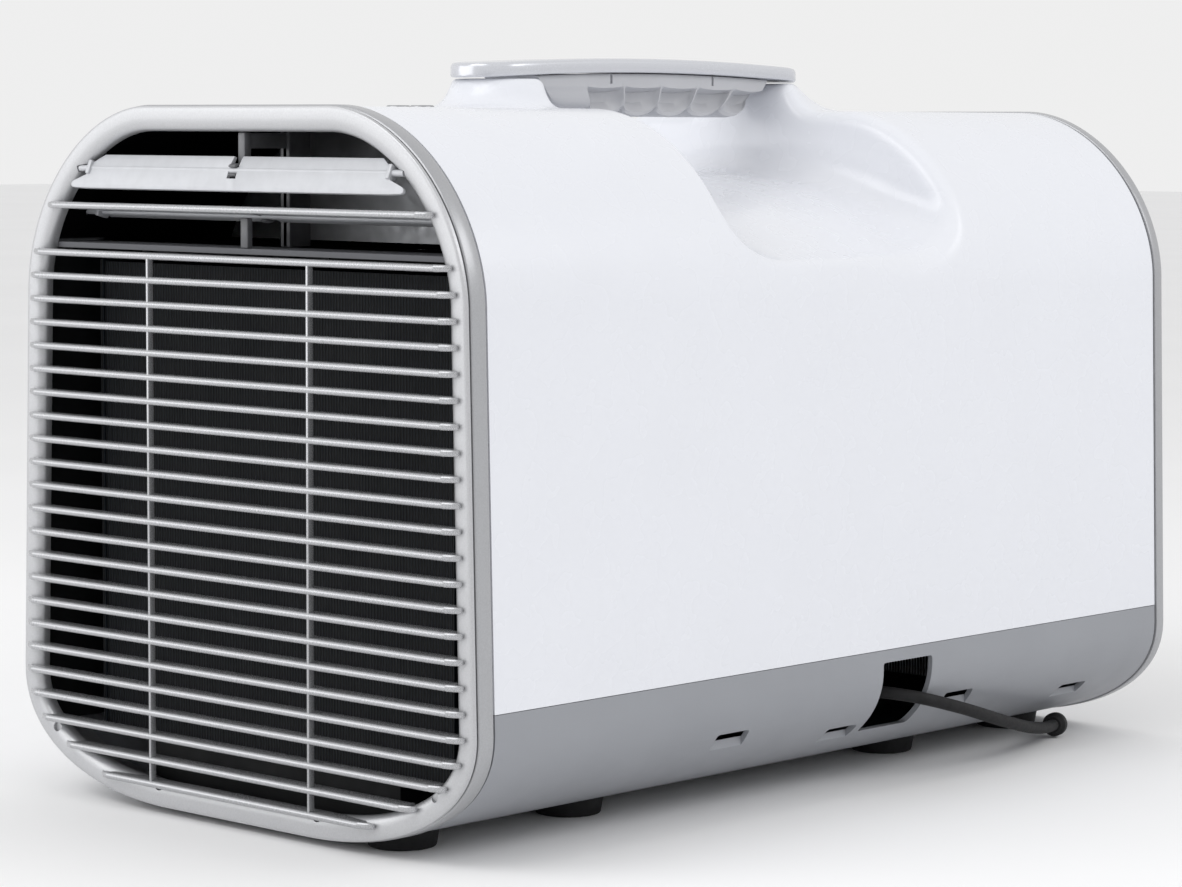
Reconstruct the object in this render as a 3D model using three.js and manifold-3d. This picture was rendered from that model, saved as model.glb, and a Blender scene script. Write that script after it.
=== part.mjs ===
// Portable camping air conditioner.
//
// A loaf-shaped body lies along Y with its cold-air face at -Y. Room air enters the
// slatted lower front, crosses the evaporator, is drawn into a centrifugal blower and
// leaves through the arched outlet above the slats. The compressor stands in the middle,
// and the condenser with its axial fan fills the rear.
//
// Millimetres, +Z up, +X to the right of someone who faces the cold-air side.
// The origin is on the floor under the middle of the body.

import * as THREE from 'three';
import { mergeVertices } from 'three/addons/utils/BufferGeometryUtils.js';
import Module from 'manifold-3d';

const wasm = await Module();
wasm.setup();

// ---------------------------------------------------------------- driving sizes

const FIT = 0.3;                  // gap left between two pieces that touch
const RUN = 0.8;                  // gap round anything that turns or slides

const BODY_WIDTH = 298;           // across the sides, at their widest, low down
const BODY_LENGTH = 501;          // front panel face to the end of the rear ring
const BODY_TOP = 318.5;           // the flat deck above the floor
const BODY_BOTTOM = 3;            // lowest line of the shell above the floor
const SIDE_DRAFT = 5;             // each side leans in by this much on its way up
const TOP_CORNER_WIDTH = 84;      // shoulder, measured across
const TOP_CORNER_HEIGHT = 84.5;   // shoulder, measured down
const TOP_CORNER_POWER = 1.85;    // 2 is an ellipse, less is flatter
const BOTTOM_CORNER_WIDTH = 104;
const BOTTOM_CORNER_HEIGHT = 55;
const BOTTOM_CORNER_POWER = 2.15;
const CORNER_STEPS = 9;

const WALL = 3;                   // casing and base walls
const SHELL_INSET = 0.7;          // the shells sit this far inside the trim rings
const SPLIT_HEIGHT = 67;          // joint between the white casing and the grey base

const SLAT_PITCH = 10.78;
const SLAT_TOP_DROP = 4.4;        // centre of the uppermost intake slat under the duct's floor
const SLAT_THICKNESS = 3.2;
const SLAT_PROUD = 5;             // how far the slats stand out of the panel
const SLAT_DEPTH = 10;
const SLAT_WRAP = 6.5;            // how far a slat's end laps onto the panel
const BAR_WIDTH = 1.8;
const BAR_SPACING = 105;
const BEZEL_WIDTH = 11.6;         // rim of the panel round its opening
const BEZEL_LIP = 1.8;            // thickness of the rim's front flange
const BEZEL_BODY_INSET = 3.2;
const RING_GROOVE = 1.2;          // dark groove between panel rim and ring
const RING_DEPTH = 8.4;
const RING_SEAM = 1.3;            // dark seam between a ring and the shells
const RING_INNER = 7;             // how far a ring's floor reaches in
const RING_TONGUE = 8.5;          // tongue that locates the shells

const LOUVRE_SPACING = 20;
const LOUVRE_UPPER_DROP = 28.5;   // upper pivot under the body's top
const LOUVRE_UPPER_SETBACK = 2;   // pivot behind the panel face
const LOUVRE_LOWER_SETBACK = 20.5;
const LOUVRE_UPPER_TILT = 68;     // nose down, degrees
const LOUVRE_LOWER_TILT = -14;
const LOUVRE_THICKNESS = 1.8;
const LOUVRE_FRONT = 9.5;         // chord ahead of the pivot
const LOUVRE_REAR = 6.5;
const LOUVRE_END_GAP = 4;
const PIVOT_RADIUS = 1.5;
const PIN_LENGTH = 3;               // how far a louvre's pins reach into their sockets
const HANGER_WIDTH = 6;

const SCOOP_CENTRE = 7;           // hand scoop and handle, along Y
const SCOOP_LENGTH = 168;
const SCOOP_RADIUS = 38;
const SCOOP_EDGE_DEPTH = 75.5;    // floor under the body's top, where it meets the side
const SCOOP_CREST_DEPTH = 31.5;   // floor under the body's top, below the middle of the grip

const CAP_OVERHANG = 29;          // how far the cap passes each end of the scoop
const HANDLE_WIDTH = 42;
const CAP_THICKNESS = 6.8;
const CAP_RISE = 13.5;            // underside of the cap's ends above the body's top
const CAP_CROWN = 3.5;
const CAP_CORNER = 20;            // radius of the cap's ends in plan
const GRIP_WIDTH = 35;
const GRIP_SINK = 4;              // underside of the grip below the body's top
const GRIP_END_GAP = 1;           // grip to each end of the scoop, at the cap
const GRIP_END_SLANT = 15;        // how far each end leans in on its way down
const GRIP_CORNER = 9;
const FINGER_COUNT = 5;
const FINGER_PITCH = 23;
const FINGER_DEPTH = 5;
const FINGER_SHIFT = 15;          // middle groove behind the grip's middle
const PEDESTAL_TOP_RADIUS = 26;
const PEDESTAL_FOOT_RADIUS = 33;
const REAR_PEDESTAL_FOOT_RADIUS = 42;

const FOOT_RADIUS = 16.5;
const FOOT_SPREAD = 75;           // foot centres from the middle plane
const FOOT_FRONT_MARGIN = 30;     // first foot behind the panel's face
const FOOT_REAR_MARGIN = 35;      // last foot ahead of the rear ring's end
const FOOT_PAIR_SPACING = 104;    // outer foot to the next one inwards
const FOOT_HEIGHT = 10;

const PORT_CENTRE = 41;           // opening in the base for the drain hose, along Y
const PORT_LENGTH = 37;
const PORT_LOW = 27;
const PORT_HIGH = 61;
const NOTCH_LENGTH = 22;          // lifting notches in the base
const NOTCH_HEIGHT = 8;
const NOTCH_DEPTH = 1.6;
const NOTCH_UPPER_LEVEL = 35.5;
const NOTCH_LOWER_LEVEL = 27;
const NOTCH_FRONT_STATION = -79;
const NOTCH_REAR_MARGIN = 63;     // last notch ahead of the rear ring's end
const NOTCH_PORT_GAP_FRONT = 16.5;  // notch centres from the port's ends
const NOTCH_PORT_GAP_REAR = 27.5;
const HOSE_RADIUS = 3;
const SPIGOT_RADIUS = 4.4;
const STOPPER_RADIUS = 6;

const COIL_DEPTH = 30;
const COIL_SIDE_ROOM = 33;        // body's side to a coil's end plate, where its bends turn
const COIL_LOW = 31;
const EVAPORATOR_HEADROOM = 8;    // coil's top under the duct's floor
const CONDENSER_HEADROOM = 56.5;  // coil's top under the body's top
const COIL_TUBE_RADIUS = 3.6;
const COIL_PASSES = 8;

const DUCT_FLOOR_DEPTH = 62.5;    // duct's floor under the body's top
const SHEET = 2.4;                // ducts, scroll, shroud and bulkhead

const SCROLL_HEADROOM = 14;       // scroll's top under the duct's floor
const SCROLL_RADIUS = 94;
const SCROLL_DEPTH = 56;
const WHEEL_RADIUS = 72;
const WHEEL_BLADES = 24;
const SHAFT_RADIUS = 4;
const BLOWER_MOTOR_RADIUS = 37;
const BLOWER_MOTOR_DEPTH = 42;

const FAN_AXIS_HEIGHT = 160;
const FAN_RADIUS = 100;
const FAN_TIP_GAP = 4;            // blade tips to the shroud's collar
const FAN_HUB_RADIUS = 30;
const FAN_DEPTH = 26;
const FAN_BLADES = 5;
const FAN_MOTOR_RADIUS = 28;
const FAN_MOTOR_DEPTH = 22;
const GUARD_MARGIN = 6;           // rear guard's opening beyond the blade tips
const GUARD_SLATS = 16;
const GUARD_SLAT_HEIGHT = 3.2;
const REAR_REBATE = 5;
const VENT_DROP = 20;             // low vents under the guard's opening

const COMPRESSOR_RADIUS = 52;
const COMPRESSOR_HEIGHT = 165;
const COMPRESSOR_STAND = 8;       // height of its grommets' seat
const COMPRESSOR_FLANGE = 8;
const GROMMET_CIRCLE = 38;
const ACCUMULATOR_RADIUS = 24;
const ACCUMULATOR_LENGTH = 110;
const ACCUMULATOR_STAND = 45;     // its lower end above the chassis plate
const PIPE_RADIUS = 4;
const SUCTION_INBOARD = 10;       // where the pipes pass the scroll, inside its outer edge
const SUCTION_LEVEL = 232;
const LIQUID_INBOARD = 2;
const LIQUID_LEVEL = 60;
const LIQUID_RADIUS = 2.2;
const LIQUID_CLEARANCE = 12;      // liquid line's middle to the compressor's shell

const BOARD_WIDTH = 72;
const BOARD_HEIGHT = 112;
const BOARD_LOW = 110;
const BOARD_MOTOR_GAP = 13;       // board tray to the blower motor
const TRAY_DEPTH = 9;

const INLET_WIDTH = 34;
const INLET_HEIGHT = 24;
const INLET_X = 92;
const INLET_LEVEL = 38;
const REAR_SCREW_RADIUS = 3.2;

const PANEL_WIDTH = 112;
const PANEL_LENGTH = 46;
const PANEL_SETBACK = 72;         // panel's middle behind the front
const PANEL_CORNER = 8;
const PANEL_THICKNESS = 2.6;
const DISPLAY_WIDTH = 36;
const DISPLAY_LENGTH = 24;
const BUTTON_SPACING = 15;
const BUTTON_MARGIN = 12;         // outer buttons' middles from the panel's ends
const BUTTON_RADIUS = 5.4;
const BUTTON_STANDS = 0.9;
const BUTTON_TRAVEL = 1.2;

// ---------------------------------------------------------------- places that follow

const HALF = BODY_WIDTH / 2;
const FRONT_Y = -(BODY_LENGTH + SLAT_PROUD) / 2 + SLAT_PROUD;
const REAR_Y = FRONT_Y + BODY_LENGTH;
const RING_FRONT_Y = FRONT_Y + BEZEL_LIP + RING_GROOVE;
const RING_FLOOR_Y = RING_FRONT_Y + 3.5;
const RING_BACK_Y = RING_FRONT_Y + RING_DEPTH;
const SHELL_FRONT_Y = RING_BACK_Y + RING_SEAM;
const REAR_RING_Y = REAR_Y - RING_DEPTH + 1.8;
const SHELL_REAR_Y = REAR_RING_Y - RING_SEAM;
const REAR_PANEL_Y = REAR_Y - 3.4;
const INNER = SHELL_INSET + WALL;
const DECK_HEIGHT = BODY_TOP - SHELL_INSET;

const DUCT_FLOOR_HEIGHT = BODY_TOP - DUCT_FLOOR_DEPTH;
const SLAT_TOP_HEIGHT = DUCT_FLOOR_HEIGHT - SLAT_TOP_DROP;
const SLAT_LOWEST = BODY_BOTTOM + BEZEL_WIDTH - 0.5;
const SLAT_COUNT = Math.floor((SLAT_TOP_HEIGHT - SLAT_LOWEST) / SLAT_PITCH) + 1;
const LOUVRE_UPPER_HEIGHT = BODY_TOP - LOUVRE_UPPER_DROP;
const SCOOP_EDGE_HEIGHT = BODY_TOP - SCOOP_EDGE_DEPTH;
const SCOOP_CREST_HEIGHT = BODY_TOP - SCOOP_CREST_DEPTH;
const SCOOP_FRONT_Y = SCOOP_CENTRE - SCOOP_LENGTH / 2;
const SCOOP_REAR_Y = SCOOP_CENTRE + SCOOP_LENGTH / 2;
const HANDLE_LENGTH = SCOOP_LENGTH + 2 * CAP_OVERHANG;
const CAP_END_HEIGHT = BODY_TOP + CAP_RISE;
const GRIP_BOTTOM_HEIGHT = BODY_TOP - GRIP_SINK;
const GRIP_TOP_LENGTH = SCOOP_LENGTH - 2 * GRIP_END_GAP;
const GRIP_BOTTOM_LENGTH = GRIP_TOP_LENGTH - 2 * GRIP_END_SLANT;

const COIL_WIDTH = BODY_WIDTH - 2 * COIL_SIDE_ROOM;
const EVAPORATOR_HIGH = DUCT_FLOOR_HEIGHT - EVAPORATOR_HEADROOM;
const CONDENSER_HIGH = BODY_TOP - CONDENSER_HEADROOM;
const BLOWER_AXIS_HEIGHT = DUCT_FLOOR_HEIGHT - SCROLL_HEADROOM - SCROLL_RADIUS;
const EVAPORATOR_Y = RING_BACK_Y + RING_TONGUE + 1;
const SCROLL_Y = EVAPORATOR_Y + COIL_DEPTH + 6;
const BULKHEAD_Y = SCROLL_Y + SCROLL_DEPTH + FIT;
const BLOWER_MOTOR_Y = BULKHEAD_Y + SHEET + FIT;
const SHROUD_Y = REAR_RING_Y - RING_TONGUE - 51;
const CONDENSER_Y = SHROUD_Y - COIL_DEPTH - 4;
const CHASSIS_HEIGHT = BODY_BOTTOM + SHELL_INSET + WALL + 4;
const COMPRESSOR_Y = 22;
const COMPRESSOR_X = -44;
const COMPRESSOR_BASE = CHASSIS_HEIGHT + COMPRESSOR_STAND;
const ACCUMULATOR_X = COMPRESSOR_X + COMPRESSOR_RADIUS + ACCUMULATOR_RADIUS + 3;
const ACCUMULATOR_Y = COMPRESSOR_Y - 8;
const LOUVRE_UPPER_Y = FRONT_Y + LOUVRE_UPPER_SETBACK;
const LOUVRE_LOWER_Y = FRONT_Y + LOUVRE_LOWER_SETBACK;
const LOUVRE_LOWER_HEIGHT = LOUVRE_UPPER_HEIGHT - LOUVRE_SPACING;
const PANEL_CENTRE_Y = FRONT_Y + PANEL_SETBACK;
const DUCT_INNER = RING_INNER + FIT + SHEET;

// ---------------------------------------------------------------- finishes

const finish = (color, roughness, metalness) =>
  new THREE.MeshStandardMaterial({ color, roughness, metalness });

const SILVER = finish(0xa9abae, 0.38, 0.35);
const WHITE = finish(0xf1f3f6, 0.22, 0);
const GREY = finish(0x96989d, 0.45, 0);
const CAP_SILVER = finish(0xc9ccd1, 0.3, 0.3);
const GRIP_GREY = finish(0xb4b6bb, 0.5, 0);
const RUBBER = finish(0x1c1d1f, 0.85, 0);
const DARK_PLASTIC = finish(0x2a2c2f, 0.6, 0);
const FIN_BLUE = finish(0x16222e, 0.5, 0.6);
const FIN_BARE = finish(0xb9bdc2, 0.4, 0.9);
const COPPER = finish(0xb46a3c, 0.35, 1);
const STEEL = finish(0x8f9499, 0.4, 0.9);
const BLACK_STEEL = finish(0x191a1c, 0.5, 0.3);
const BOARD_GREEN = finish(0x1d5a36, 0.6, 0);
const GLOSS_BLACK = finish(0x0c0d0f, 0.1, 0);

// ---------------------------------------------------------------- building blocks

/** Turns a closed three.js geometry into a solid that can be joined and cut. */
function solid(geometry) {
  const bare = geometry.clone();
  bare.deleteAttribute('normal');
  bare.deleteAttribute('uv');
  const merged = mergeVertices(bare, 1e-4);
  return new wasm.Manifold(new wasm.Mesh({
    numProp: 3,
    vertProperties: Float32Array.from(merged.attributes.position.array),
    triVerts: Uint32Array.from(merged.index.array),
  }));
}

const join = (...pieces) => pieces.reduce((sum, piece) => sum.add(piece));
const cut = (body, ...tools) => tools.reduce((rest, tool) => rest.subtract(tool), body);

/** Turns a solid back into a geometry for a mesh. */
function geometryOf(body) {
  const { vertProperties, triVerts } = body.getMesh();
  const geometry = new THREE.BufferGeometry();
  geometry.setAttribute('position', new THREE.BufferAttribute(vertProperties, 3));
  geometry.setIndex(new THREE.BufferAttribute(triVerts, 1));
  geometry.computeVertexNormals();
  return geometry;
}

const root = new THREE.Group();

/** Adds one named piece to a group and returns its mesh. */
function piece(name, body, material, parent = root) {
  const mesh = new THREE.Mesh(geometryOf(body), material);
  mesh.name = name;
  parent.add(mesh);
  return mesh;
}

function shapeFrom(points, hole) {
  const shape = new THREE.Shape(points);
  if (hole) shape.holes.push(new THREE.Path(hole));
  return shape;
}

/** A prism along Y of an (X, Z) shape. */
function alongY(shape, from, to) {
  const geometry = new THREE.ExtrudeGeometry(shape, { depth: to - from, bevelEnabled: false });
  geometry.rotateX(Math.PI / 2);
  geometry.translate(0, to, 0);
  return solid(geometry);
}

/** A prism along X of a (Y, Z) shape. */
function alongX(shape, from, to) {
  const geometry = new THREE.ExtrudeGeometry(shape, { depth: to - from, bevelEnabled: false });
  geometry.applyMatrix4(new THREE.Matrix4().makeBasis(
    new THREE.Vector3(0, 1, 0), new THREE.Vector3(0, 0, 1), new THREE.Vector3(1, 0, 0)));
  geometry.translate(from, 0, 0);
  return solid(geometry);
}

/** A prism along Z of an (X, Y) shape. */
function alongZ(shape, from, to) {
  const geometry = new THREE.ExtrudeGeometry(shape, { depth: to - from, bevelEnabled: false });
  geometry.translate(0, 0, from);
  return solid(geometry);
}

/** A box between two corners. */
function block(x0, x1, y0, y1, z0, z1) {
  const geometry = new THREE.BoxGeometry(x1 - x0, y1 - y0, z1 - z0);
  geometry.translate((x0 + x1) / 2, (y0 + y1) / 2, (z0 + z1) / 2);
  return solid(geometry);
}

/** A cylinder along Y round (x, z). */
function discY(x, z, radius, y0, y1, sides = 32) {
  const geometry = new THREE.CylinderGeometry(radius, radius, y1 - y0, sides);
  geometry.translate(x, (y0 + y1) / 2, z);
  return solid(geometry);
}

/** A cylinder or cone along Z round (x, y). */
function discZ(x, y, z0, z1, lowRadius, highRadius = lowRadius, sides = 24) {
  const geometry = new THREE.CylinderGeometry(highRadius, lowRadius, z1 - z0, sides);
  geometry.rotateX(Math.PI / 2);
  geometry.translate(x, y, (z0 + z1) / 2);
  return solid(geometry);
}

/** A cylinder along X round (y, z). */
function rodX(y, z, radius, x0, x1, sides = 16) {
  const geometry = new THREE.CylinderGeometry(radius, radius, x1 - x0, sides);
  geometry.rotateZ(Math.PI / 2);
  geometry.translate((x0 + x1) / 2, y, z);
  return solid(geometry);
}

/** A body of revolution about a vertical axis, from (radius, height) pairs. */
function turned(profile, x, y, sides = 24) {
  const geometry = new THREE.LatheGeometry(profile.map(([r, h]) => new THREE.Vector2(r, h)), sides);
  geometry.rotateX(Math.PI / 2);
  geometry.translate(x, y, 0);
  return solid(geometry);
}

/** A round bar through a list of [x, y, z] points. */
function pipe(points, radius, steps, sides = 8) {
  const ring = [];
  for (let i = 0; i < sides; i += 1) {
    const angle = (i / sides) * Math.PI * 2;
    ring.push(new THREE.Vector2(Math.cos(angle) * radius, Math.sin(angle) * radius));
  }
  const path = new THREE.CatmullRomCurve3(points.map((p) => new THREE.Vector3(...p)), false, 'centripetal');
  return solid(new THREE.ExtrudeGeometry(shapeFrom(ring), { steps, extrudePath: path }));
}

/** A rectangle with round corners, as points. */
function roundRect(cx, cy, width, height, radius, steps = 5) {
  const points = [];
  for (const [sx, sy, start] of [[1, -1, -90], [1, 1, 0], [-1, 1, 90], [-1, -1, 180]]) {
    for (let i = 0; i <= steps; i += 1) {
      const angle = THREE.MathUtils.degToRad(start + (90 * i) / steps);
      points.push(new THREE.Vector2(
        cx + sx * (width / 2 - radius) + radius * Math.cos(angle),
        cy + sy * (height / 2 - radius) + radius * Math.sin(angle)));
    }
  }
  return points;
}

// ---------------------------------------------------------------- body section

/** One quarter of the section's corner, as offsets from the corner's centre. */
function cornerPoint(width, height, power, angle) {
  return [
    width * Math.sin(angle) ** (2 / power),
    height * Math.cos(angle) ** (2 / power),
  ];
}

/** The body's (X, Z) section, shrunk all round by an inset. */
function bodyOutline(inset) {
  const right = [];
  const lowX = HALF - BOTTOM_CORNER_WIDTH;
  const lowZ = BODY_BOTTOM + BOTTOM_CORNER_HEIGHT;
  const highX = HALF - SIDE_DRAFT - TOP_CORNER_WIDTH;
  const highZ = BODY_TOP - TOP_CORNER_HEIGHT;
  for (let i = 0; i <= CORNER_STEPS; i += 1) {
    const angle = (i / CORNER_STEPS) * (Math.PI / 2);
    const [dx, dz] = cornerPoint(
      BOTTOM_CORNER_WIDTH - inset, BOTTOM_CORNER_HEIGHT - inset, BOTTOM_CORNER_POWER, angle);
    right.push(new THREE.Vector2(lowX + dx, lowZ - dz));
  }
  for (let i = CORNER_STEPS; i >= 0; i -= 1) {
    const angle = (i / CORNER_STEPS) * (Math.PI / 2);
    const [dx, dz] = cornerPoint(
      TOP_CORNER_WIDTH - inset, TOP_CORNER_HEIGHT - inset, TOP_CORNER_POWER, angle);
    right.push(new THREE.Vector2(highX + dx, highZ + dz));
  }
  const left = right.slice().reverse().map((p) => new THREE.Vector2(-p.x, p.y));
  return [...right, ...left];
}

/** Half the inside width of the section, shrunk by an inset, at a height. */
function halfWidthAt(height, inset) {
  const lowZ = BODY_BOTTOM + BOTTOM_CORNER_HEIGHT;
  const highZ = BODY_TOP - TOP_CORNER_HEIGHT;
  if (height > highZ) {
    const rise = Math.min((height - highZ) / (TOP_CORNER_HEIGHT - inset), 1);
    const reach = (1 - rise ** TOP_CORNER_POWER) ** (1 / TOP_CORNER_POWER);
    return HALF - SIDE_DRAFT - TOP_CORNER_WIDTH + (TOP_CORNER_WIDTH - inset) * reach;
  }
  if (height < lowZ) {
    const fall = Math.min((lowZ - height) / (BOTTOM_CORNER_HEIGHT - inset), 1);
    const reach = (1 - fall ** BOTTOM_CORNER_POWER) ** (1 / BOTTOM_CORNER_POWER);
    return HALF - BOTTOM_CORNER_WIDTH + (BOTTOM_CORNER_WIDTH - inset) * reach;
  }
  return HALF - inset - (SIDE_DRAFT * (height - lowZ)) / (highZ - lowZ);
}

const loaf = (inset, y0, y1) => alongY(shapeFrom(bodyOutline(inset)), y0, y1);
const band = (outer, inner, y0, y1) =>
  alongY(shapeFrom(bodyOutline(outer), bodyOutline(inner)), y0, y1);

// ---------------------------------------------------------------- casing and base

/** The hand scoop's cutter: side profile crossed with the saddle under the grip. */
function scoopCutter(grow) {
  const length = SCOOP_LENGTH + 2 * grow;
  const low = SCOOP_EDGE_HEIGHT - grow;
  const high = BODY_TOP + 40;
  const profile = roundRect(SCOOP_CENTRE, (low + high) / 2, length, high - low, SCOOP_RADIUS + grow, 7);
  const saddle = [];
  const reach = HALF + 10;
  const rise = SCOOP_CREST_HEIGHT - SCOOP_EDGE_HEIGHT;
  const steps = 14;
  for (let i = 0; i <= steps; i += 1) {
    const x = -reach + (2 * reach * i) / steps;
    const share = Math.min(Math.abs(x) / (HALF - SIDE_DRAFT), 1);
    saddle.push(new THREE.Vector2(x, SCOOP_CREST_HEIGHT - rise * share ** 2 - grow * 1.1));
  }
  saddle.push(new THREE.Vector2(reach, high), new THREE.Vector2(-reach, high));
  const side = alongX(shapeFrom(profile), -reach, reach);
  const across = alongY(shapeFrom(saddle), SCOOP_CENTRE - length, SCOOP_CENTRE + length);
  return side.intersect(across);
}

function upperCasing() {
  const shell = loaf(SHELL_INSET, SHELL_FRONT_Y, SHELL_REAR_Y);
  const frontBoss = discZ(0, SCOOP_FRONT_Y, DECK_HEIGHT - 6, CAP_END_HEIGHT - FIT,
    PEDESTAL_FOOT_RADIUS, PEDESTAL_TOP_RADIUS);
  const rearBoss = discZ(0, SCOOP_REAR_Y, DECK_HEIGHT - 6, CAP_END_HEIGHT - FIT,
    REAR_PEDESTAL_FOOT_RADIUS, PEDESTAL_TOP_RADIUS);
  const outside = cut(join(shell, frontBoss, rearBoss), scoopCutter(0));
  const inside = cut(loaf(INNER, SHELL_FRONT_Y - 5, SHELL_REAR_Y + 5), scoopCutter(WALL));
  const below = block(-HALF - 5, HALF + 5, FRONT_Y - 5, REAR_Y + 5, -5, SPLIT_HEIGHT + FIT / 2);
  const panelHole = alongZ(
    shapeFrom(roundRect(0, PANEL_CENTRE_Y, PANEL_WIDTH, PANEL_LENGTH, PANEL_CORNER)),
    DECK_HEIGHT - WALL - 7, DECK_HEIGHT + 5);
  return cut(outside, inside, below, panelHole);
}

function lowerBase() {
  const inside = loaf(INNER, SHELL_FRONT_Y - 5, SHELL_REAR_Y + 5);
  const tub = cut(loaf(SHELL_INSET, SHELL_FRONT_Y, SHELL_REAR_Y), inside);
  const above = block(-HALF - 5, HALF + 5, FRONT_Y - 5, REAR_Y + 5, SPLIT_HEIGHT - FIT / 2, BODY_TOP + 20);
  const port = block(HALF - 45, HALF + 5, PORT_CENTRE - PORT_LENGTH / 2, PORT_CENTRE + PORT_LENGTH / 2,
    PORT_LOW, PORT_HIGH);
  const notches = [];
  const places = [
    [NOTCH_FRONT_STATION, NOTCH_UPPER_LEVEL],
    [PORT_CENTRE - PORT_LENGTH / 2 - NOTCH_PORT_GAP_FRONT, NOTCH_LOWER_LEVEL],
    [PORT_CENTRE + PORT_LENGTH / 2 + NOTCH_PORT_GAP_REAR, NOTCH_UPPER_LEVEL],
    [REAR_Y - NOTCH_REAR_MARGIN, NOTCH_LOWER_LEVEL],
  ];
  for (const side of [-1, 1]) {
    for (const [station, height] of places) {
      const reach = halfWidthAt(height, SHELL_INSET);
      const outerX = side * (reach + 6);
      const innerX = side * (reach - NOTCH_DEPTH);
      notches.push(block(Math.min(outerX, innerX), Math.max(outerX, innerX),
        station - NOTCH_LENGTH / 2, station + NOTCH_LENGTH / 2,
        height - NOTCH_HEIGHT / 2, height + NOTCH_HEIGHT / 2));
    }
  }
  return cut(tub, above, port, ...notches);
}

piece('upper_casing', upperCasing(), WHITE);
piece('lower_base', lowerBase(), GREY);

// ---------------------------------------------------------------- front

/** Trim ring: a rebate for the panel, a visible band and a tongue inside the shells. */
function frontRing() {
  return join(
    band(0, BEZEL_BODY_INSET - FIT, RING_FRONT_Y, RING_FLOOR_Y),
    band(0, RING_INNER, RING_FLOOR_Y, RING_BACK_Y),
    band(INNER + FIT, RING_INNER, RING_BACK_Y, RING_BACK_Y + RING_TONGUE));
}

function frontBezel() {
  const rim = join(
    band(0.5, BEZEL_WIDTH, FRONT_Y, FRONT_Y + BEZEL_LIP),
    band(BEZEL_BODY_INSET, BEZEL_WIDTH, FRONT_Y + BEZEL_LIP, RING_FLOOR_Y - FIT));
  const socket = halfWidthAt(LOUVRE_UPPER_HEIGHT, BEZEL_WIDTH) + PIN_LENGTH + RUN;
  return cut(rim, rodX(LOUVRE_UPPER_Y, LOUVRE_UPPER_HEIGHT, PIVOT_RADIUS + 0.4, -socket, socket, 12));
}

/** One slat in plan: proud of the panel, with both ends curving back onto its rim. */
function slat(height) {
  const lowEdge = BODY_BOTTOM + BEZEL_WIDTH + SLAT_THICKNESS;
  const opening = halfWidthAt(Math.max(height, lowEdge), BEZEL_WIDTH);
  const tip = opening + SLAT_WRAP;
  const back = FRONT_Y - FIT;
  const rear = FRONT_Y - SLAT_PROUD + SLAT_DEPTH;
  const points = [
    [-opening + FIT, rear], [-opening + FIT, back], [-tip, back], [-tip, back - 0.8],
    [-tip + 3.5, FRONT_Y - SLAT_PROUD * 0.8], [-tip + 9, FRONT_Y - SLAT_PROUD],
  ];
  const mirrored = points.slice().reverse().map(([x, y]) => [-x, y]);
  const plan = [...points, ...mirrored].map(([x, y]) => new THREE.Vector2(x, y));
  return alongZ(shapeFrom(plan), height - SLAT_THICKNESS / 2, height + SLAT_THICKNESS / 2);
}

function intakeSlats() {
  const slats = [];
  for (let i = 0; i < SLAT_COUNT; i += 1) {
    slats.push(slat(SLAT_TOP_HEIGHT - i * SLAT_PITCH));
  }
  const lowest = SLAT_TOP_HEIGHT - (SLAT_COUNT - 1) * SLAT_PITCH;
  for (const side of [-1, 1]) {
    const x = (side * BAR_SPACING) / 2;
    slats.push(block(x - BAR_WIDTH / 2, x + BAR_WIDTH / 2, FRONT_Y - SLAT_PROUD + 1.5,
      FRONT_Y - SLAT_PROUD + SLAT_DEPTH - 1, lowest, SLAT_TOP_HEIGHT));
  }
  const rimKeepOut = band(0, BEZEL_WIDTH + FIT, FRONT_Y - FIT, FRONT_Y + 20);
  return cut(join(...slats), rimKeepOut);
}

piece('front_ring', frontRing(), SILVER);
piece('front_bezel', frontBezel(), SILVER);
piece('intake_slats', intakeSlats(), SILVER);
piece('outlet_slat', cut(slat(SLAT_TOP_HEIGHT + 2 * SLAT_PITCH),
  band(0, BEZEL_WIDTH + FIT, FRONT_Y - FIT, FRONT_Y + 20)), SILVER);

// ---------------------------------------------------------------- louvres

/** A louvre blade about its own pivot, with a notch for the centre bearing. */
function louvreBlade(frontHalf, bodyHalf, rearHalf, pinHalf) {
  const notch = HANGER_WIDTH / 2 + RUN;
  const notchDepth = PIVOT_RADIUS + 3;
  const right = [
    [frontHalf, -LOUVRE_FRONT], [frontHalf, 2.5 - LOUVRE_FRONT], [bodyHalf, -3.5], [bodyHalf, 1],
    [rearHalf, LOUVRE_REAR], [notch, LOUVRE_REAR], [notch, -notchDepth],
  ];
  const left = right.slice().reverse().map(([x, y]) => [-x, y]);
  const plan = [...right, ...left].map(([x, y]) => new THREE.Vector2(x, y));
  const blade = alongZ(shapeFrom(plan), -LOUVRE_THICKNESS / 2, LOUVRE_THICKNESS / 2);
  return join(blade, rodX(0, 0, PIVOT_RADIUS, -pinHalf, pinHalf, 12));
}

/** The upper blade fills the arch of the panel's opening and turns in the panel's rim. */
function upperLouvre() {
  const widthAt = (chord) => halfWidthAt(
    LOUVRE_UPPER_HEIGHT + chord * Math.sin(THREE.MathUtils.degToRad(LOUVRE_UPPER_TILT)), BEZEL_WIDTH);
  return louvreBlade(
    widthAt(-LOUVRE_FRONT) - LOUVRE_END_GAP, widthAt(0) - LOUVRE_END_GAP,
    widthAt(LOUVRE_REAR) - LOUVRE_END_GAP, widthAt(0) + PIN_LENGTH);
}

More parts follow.
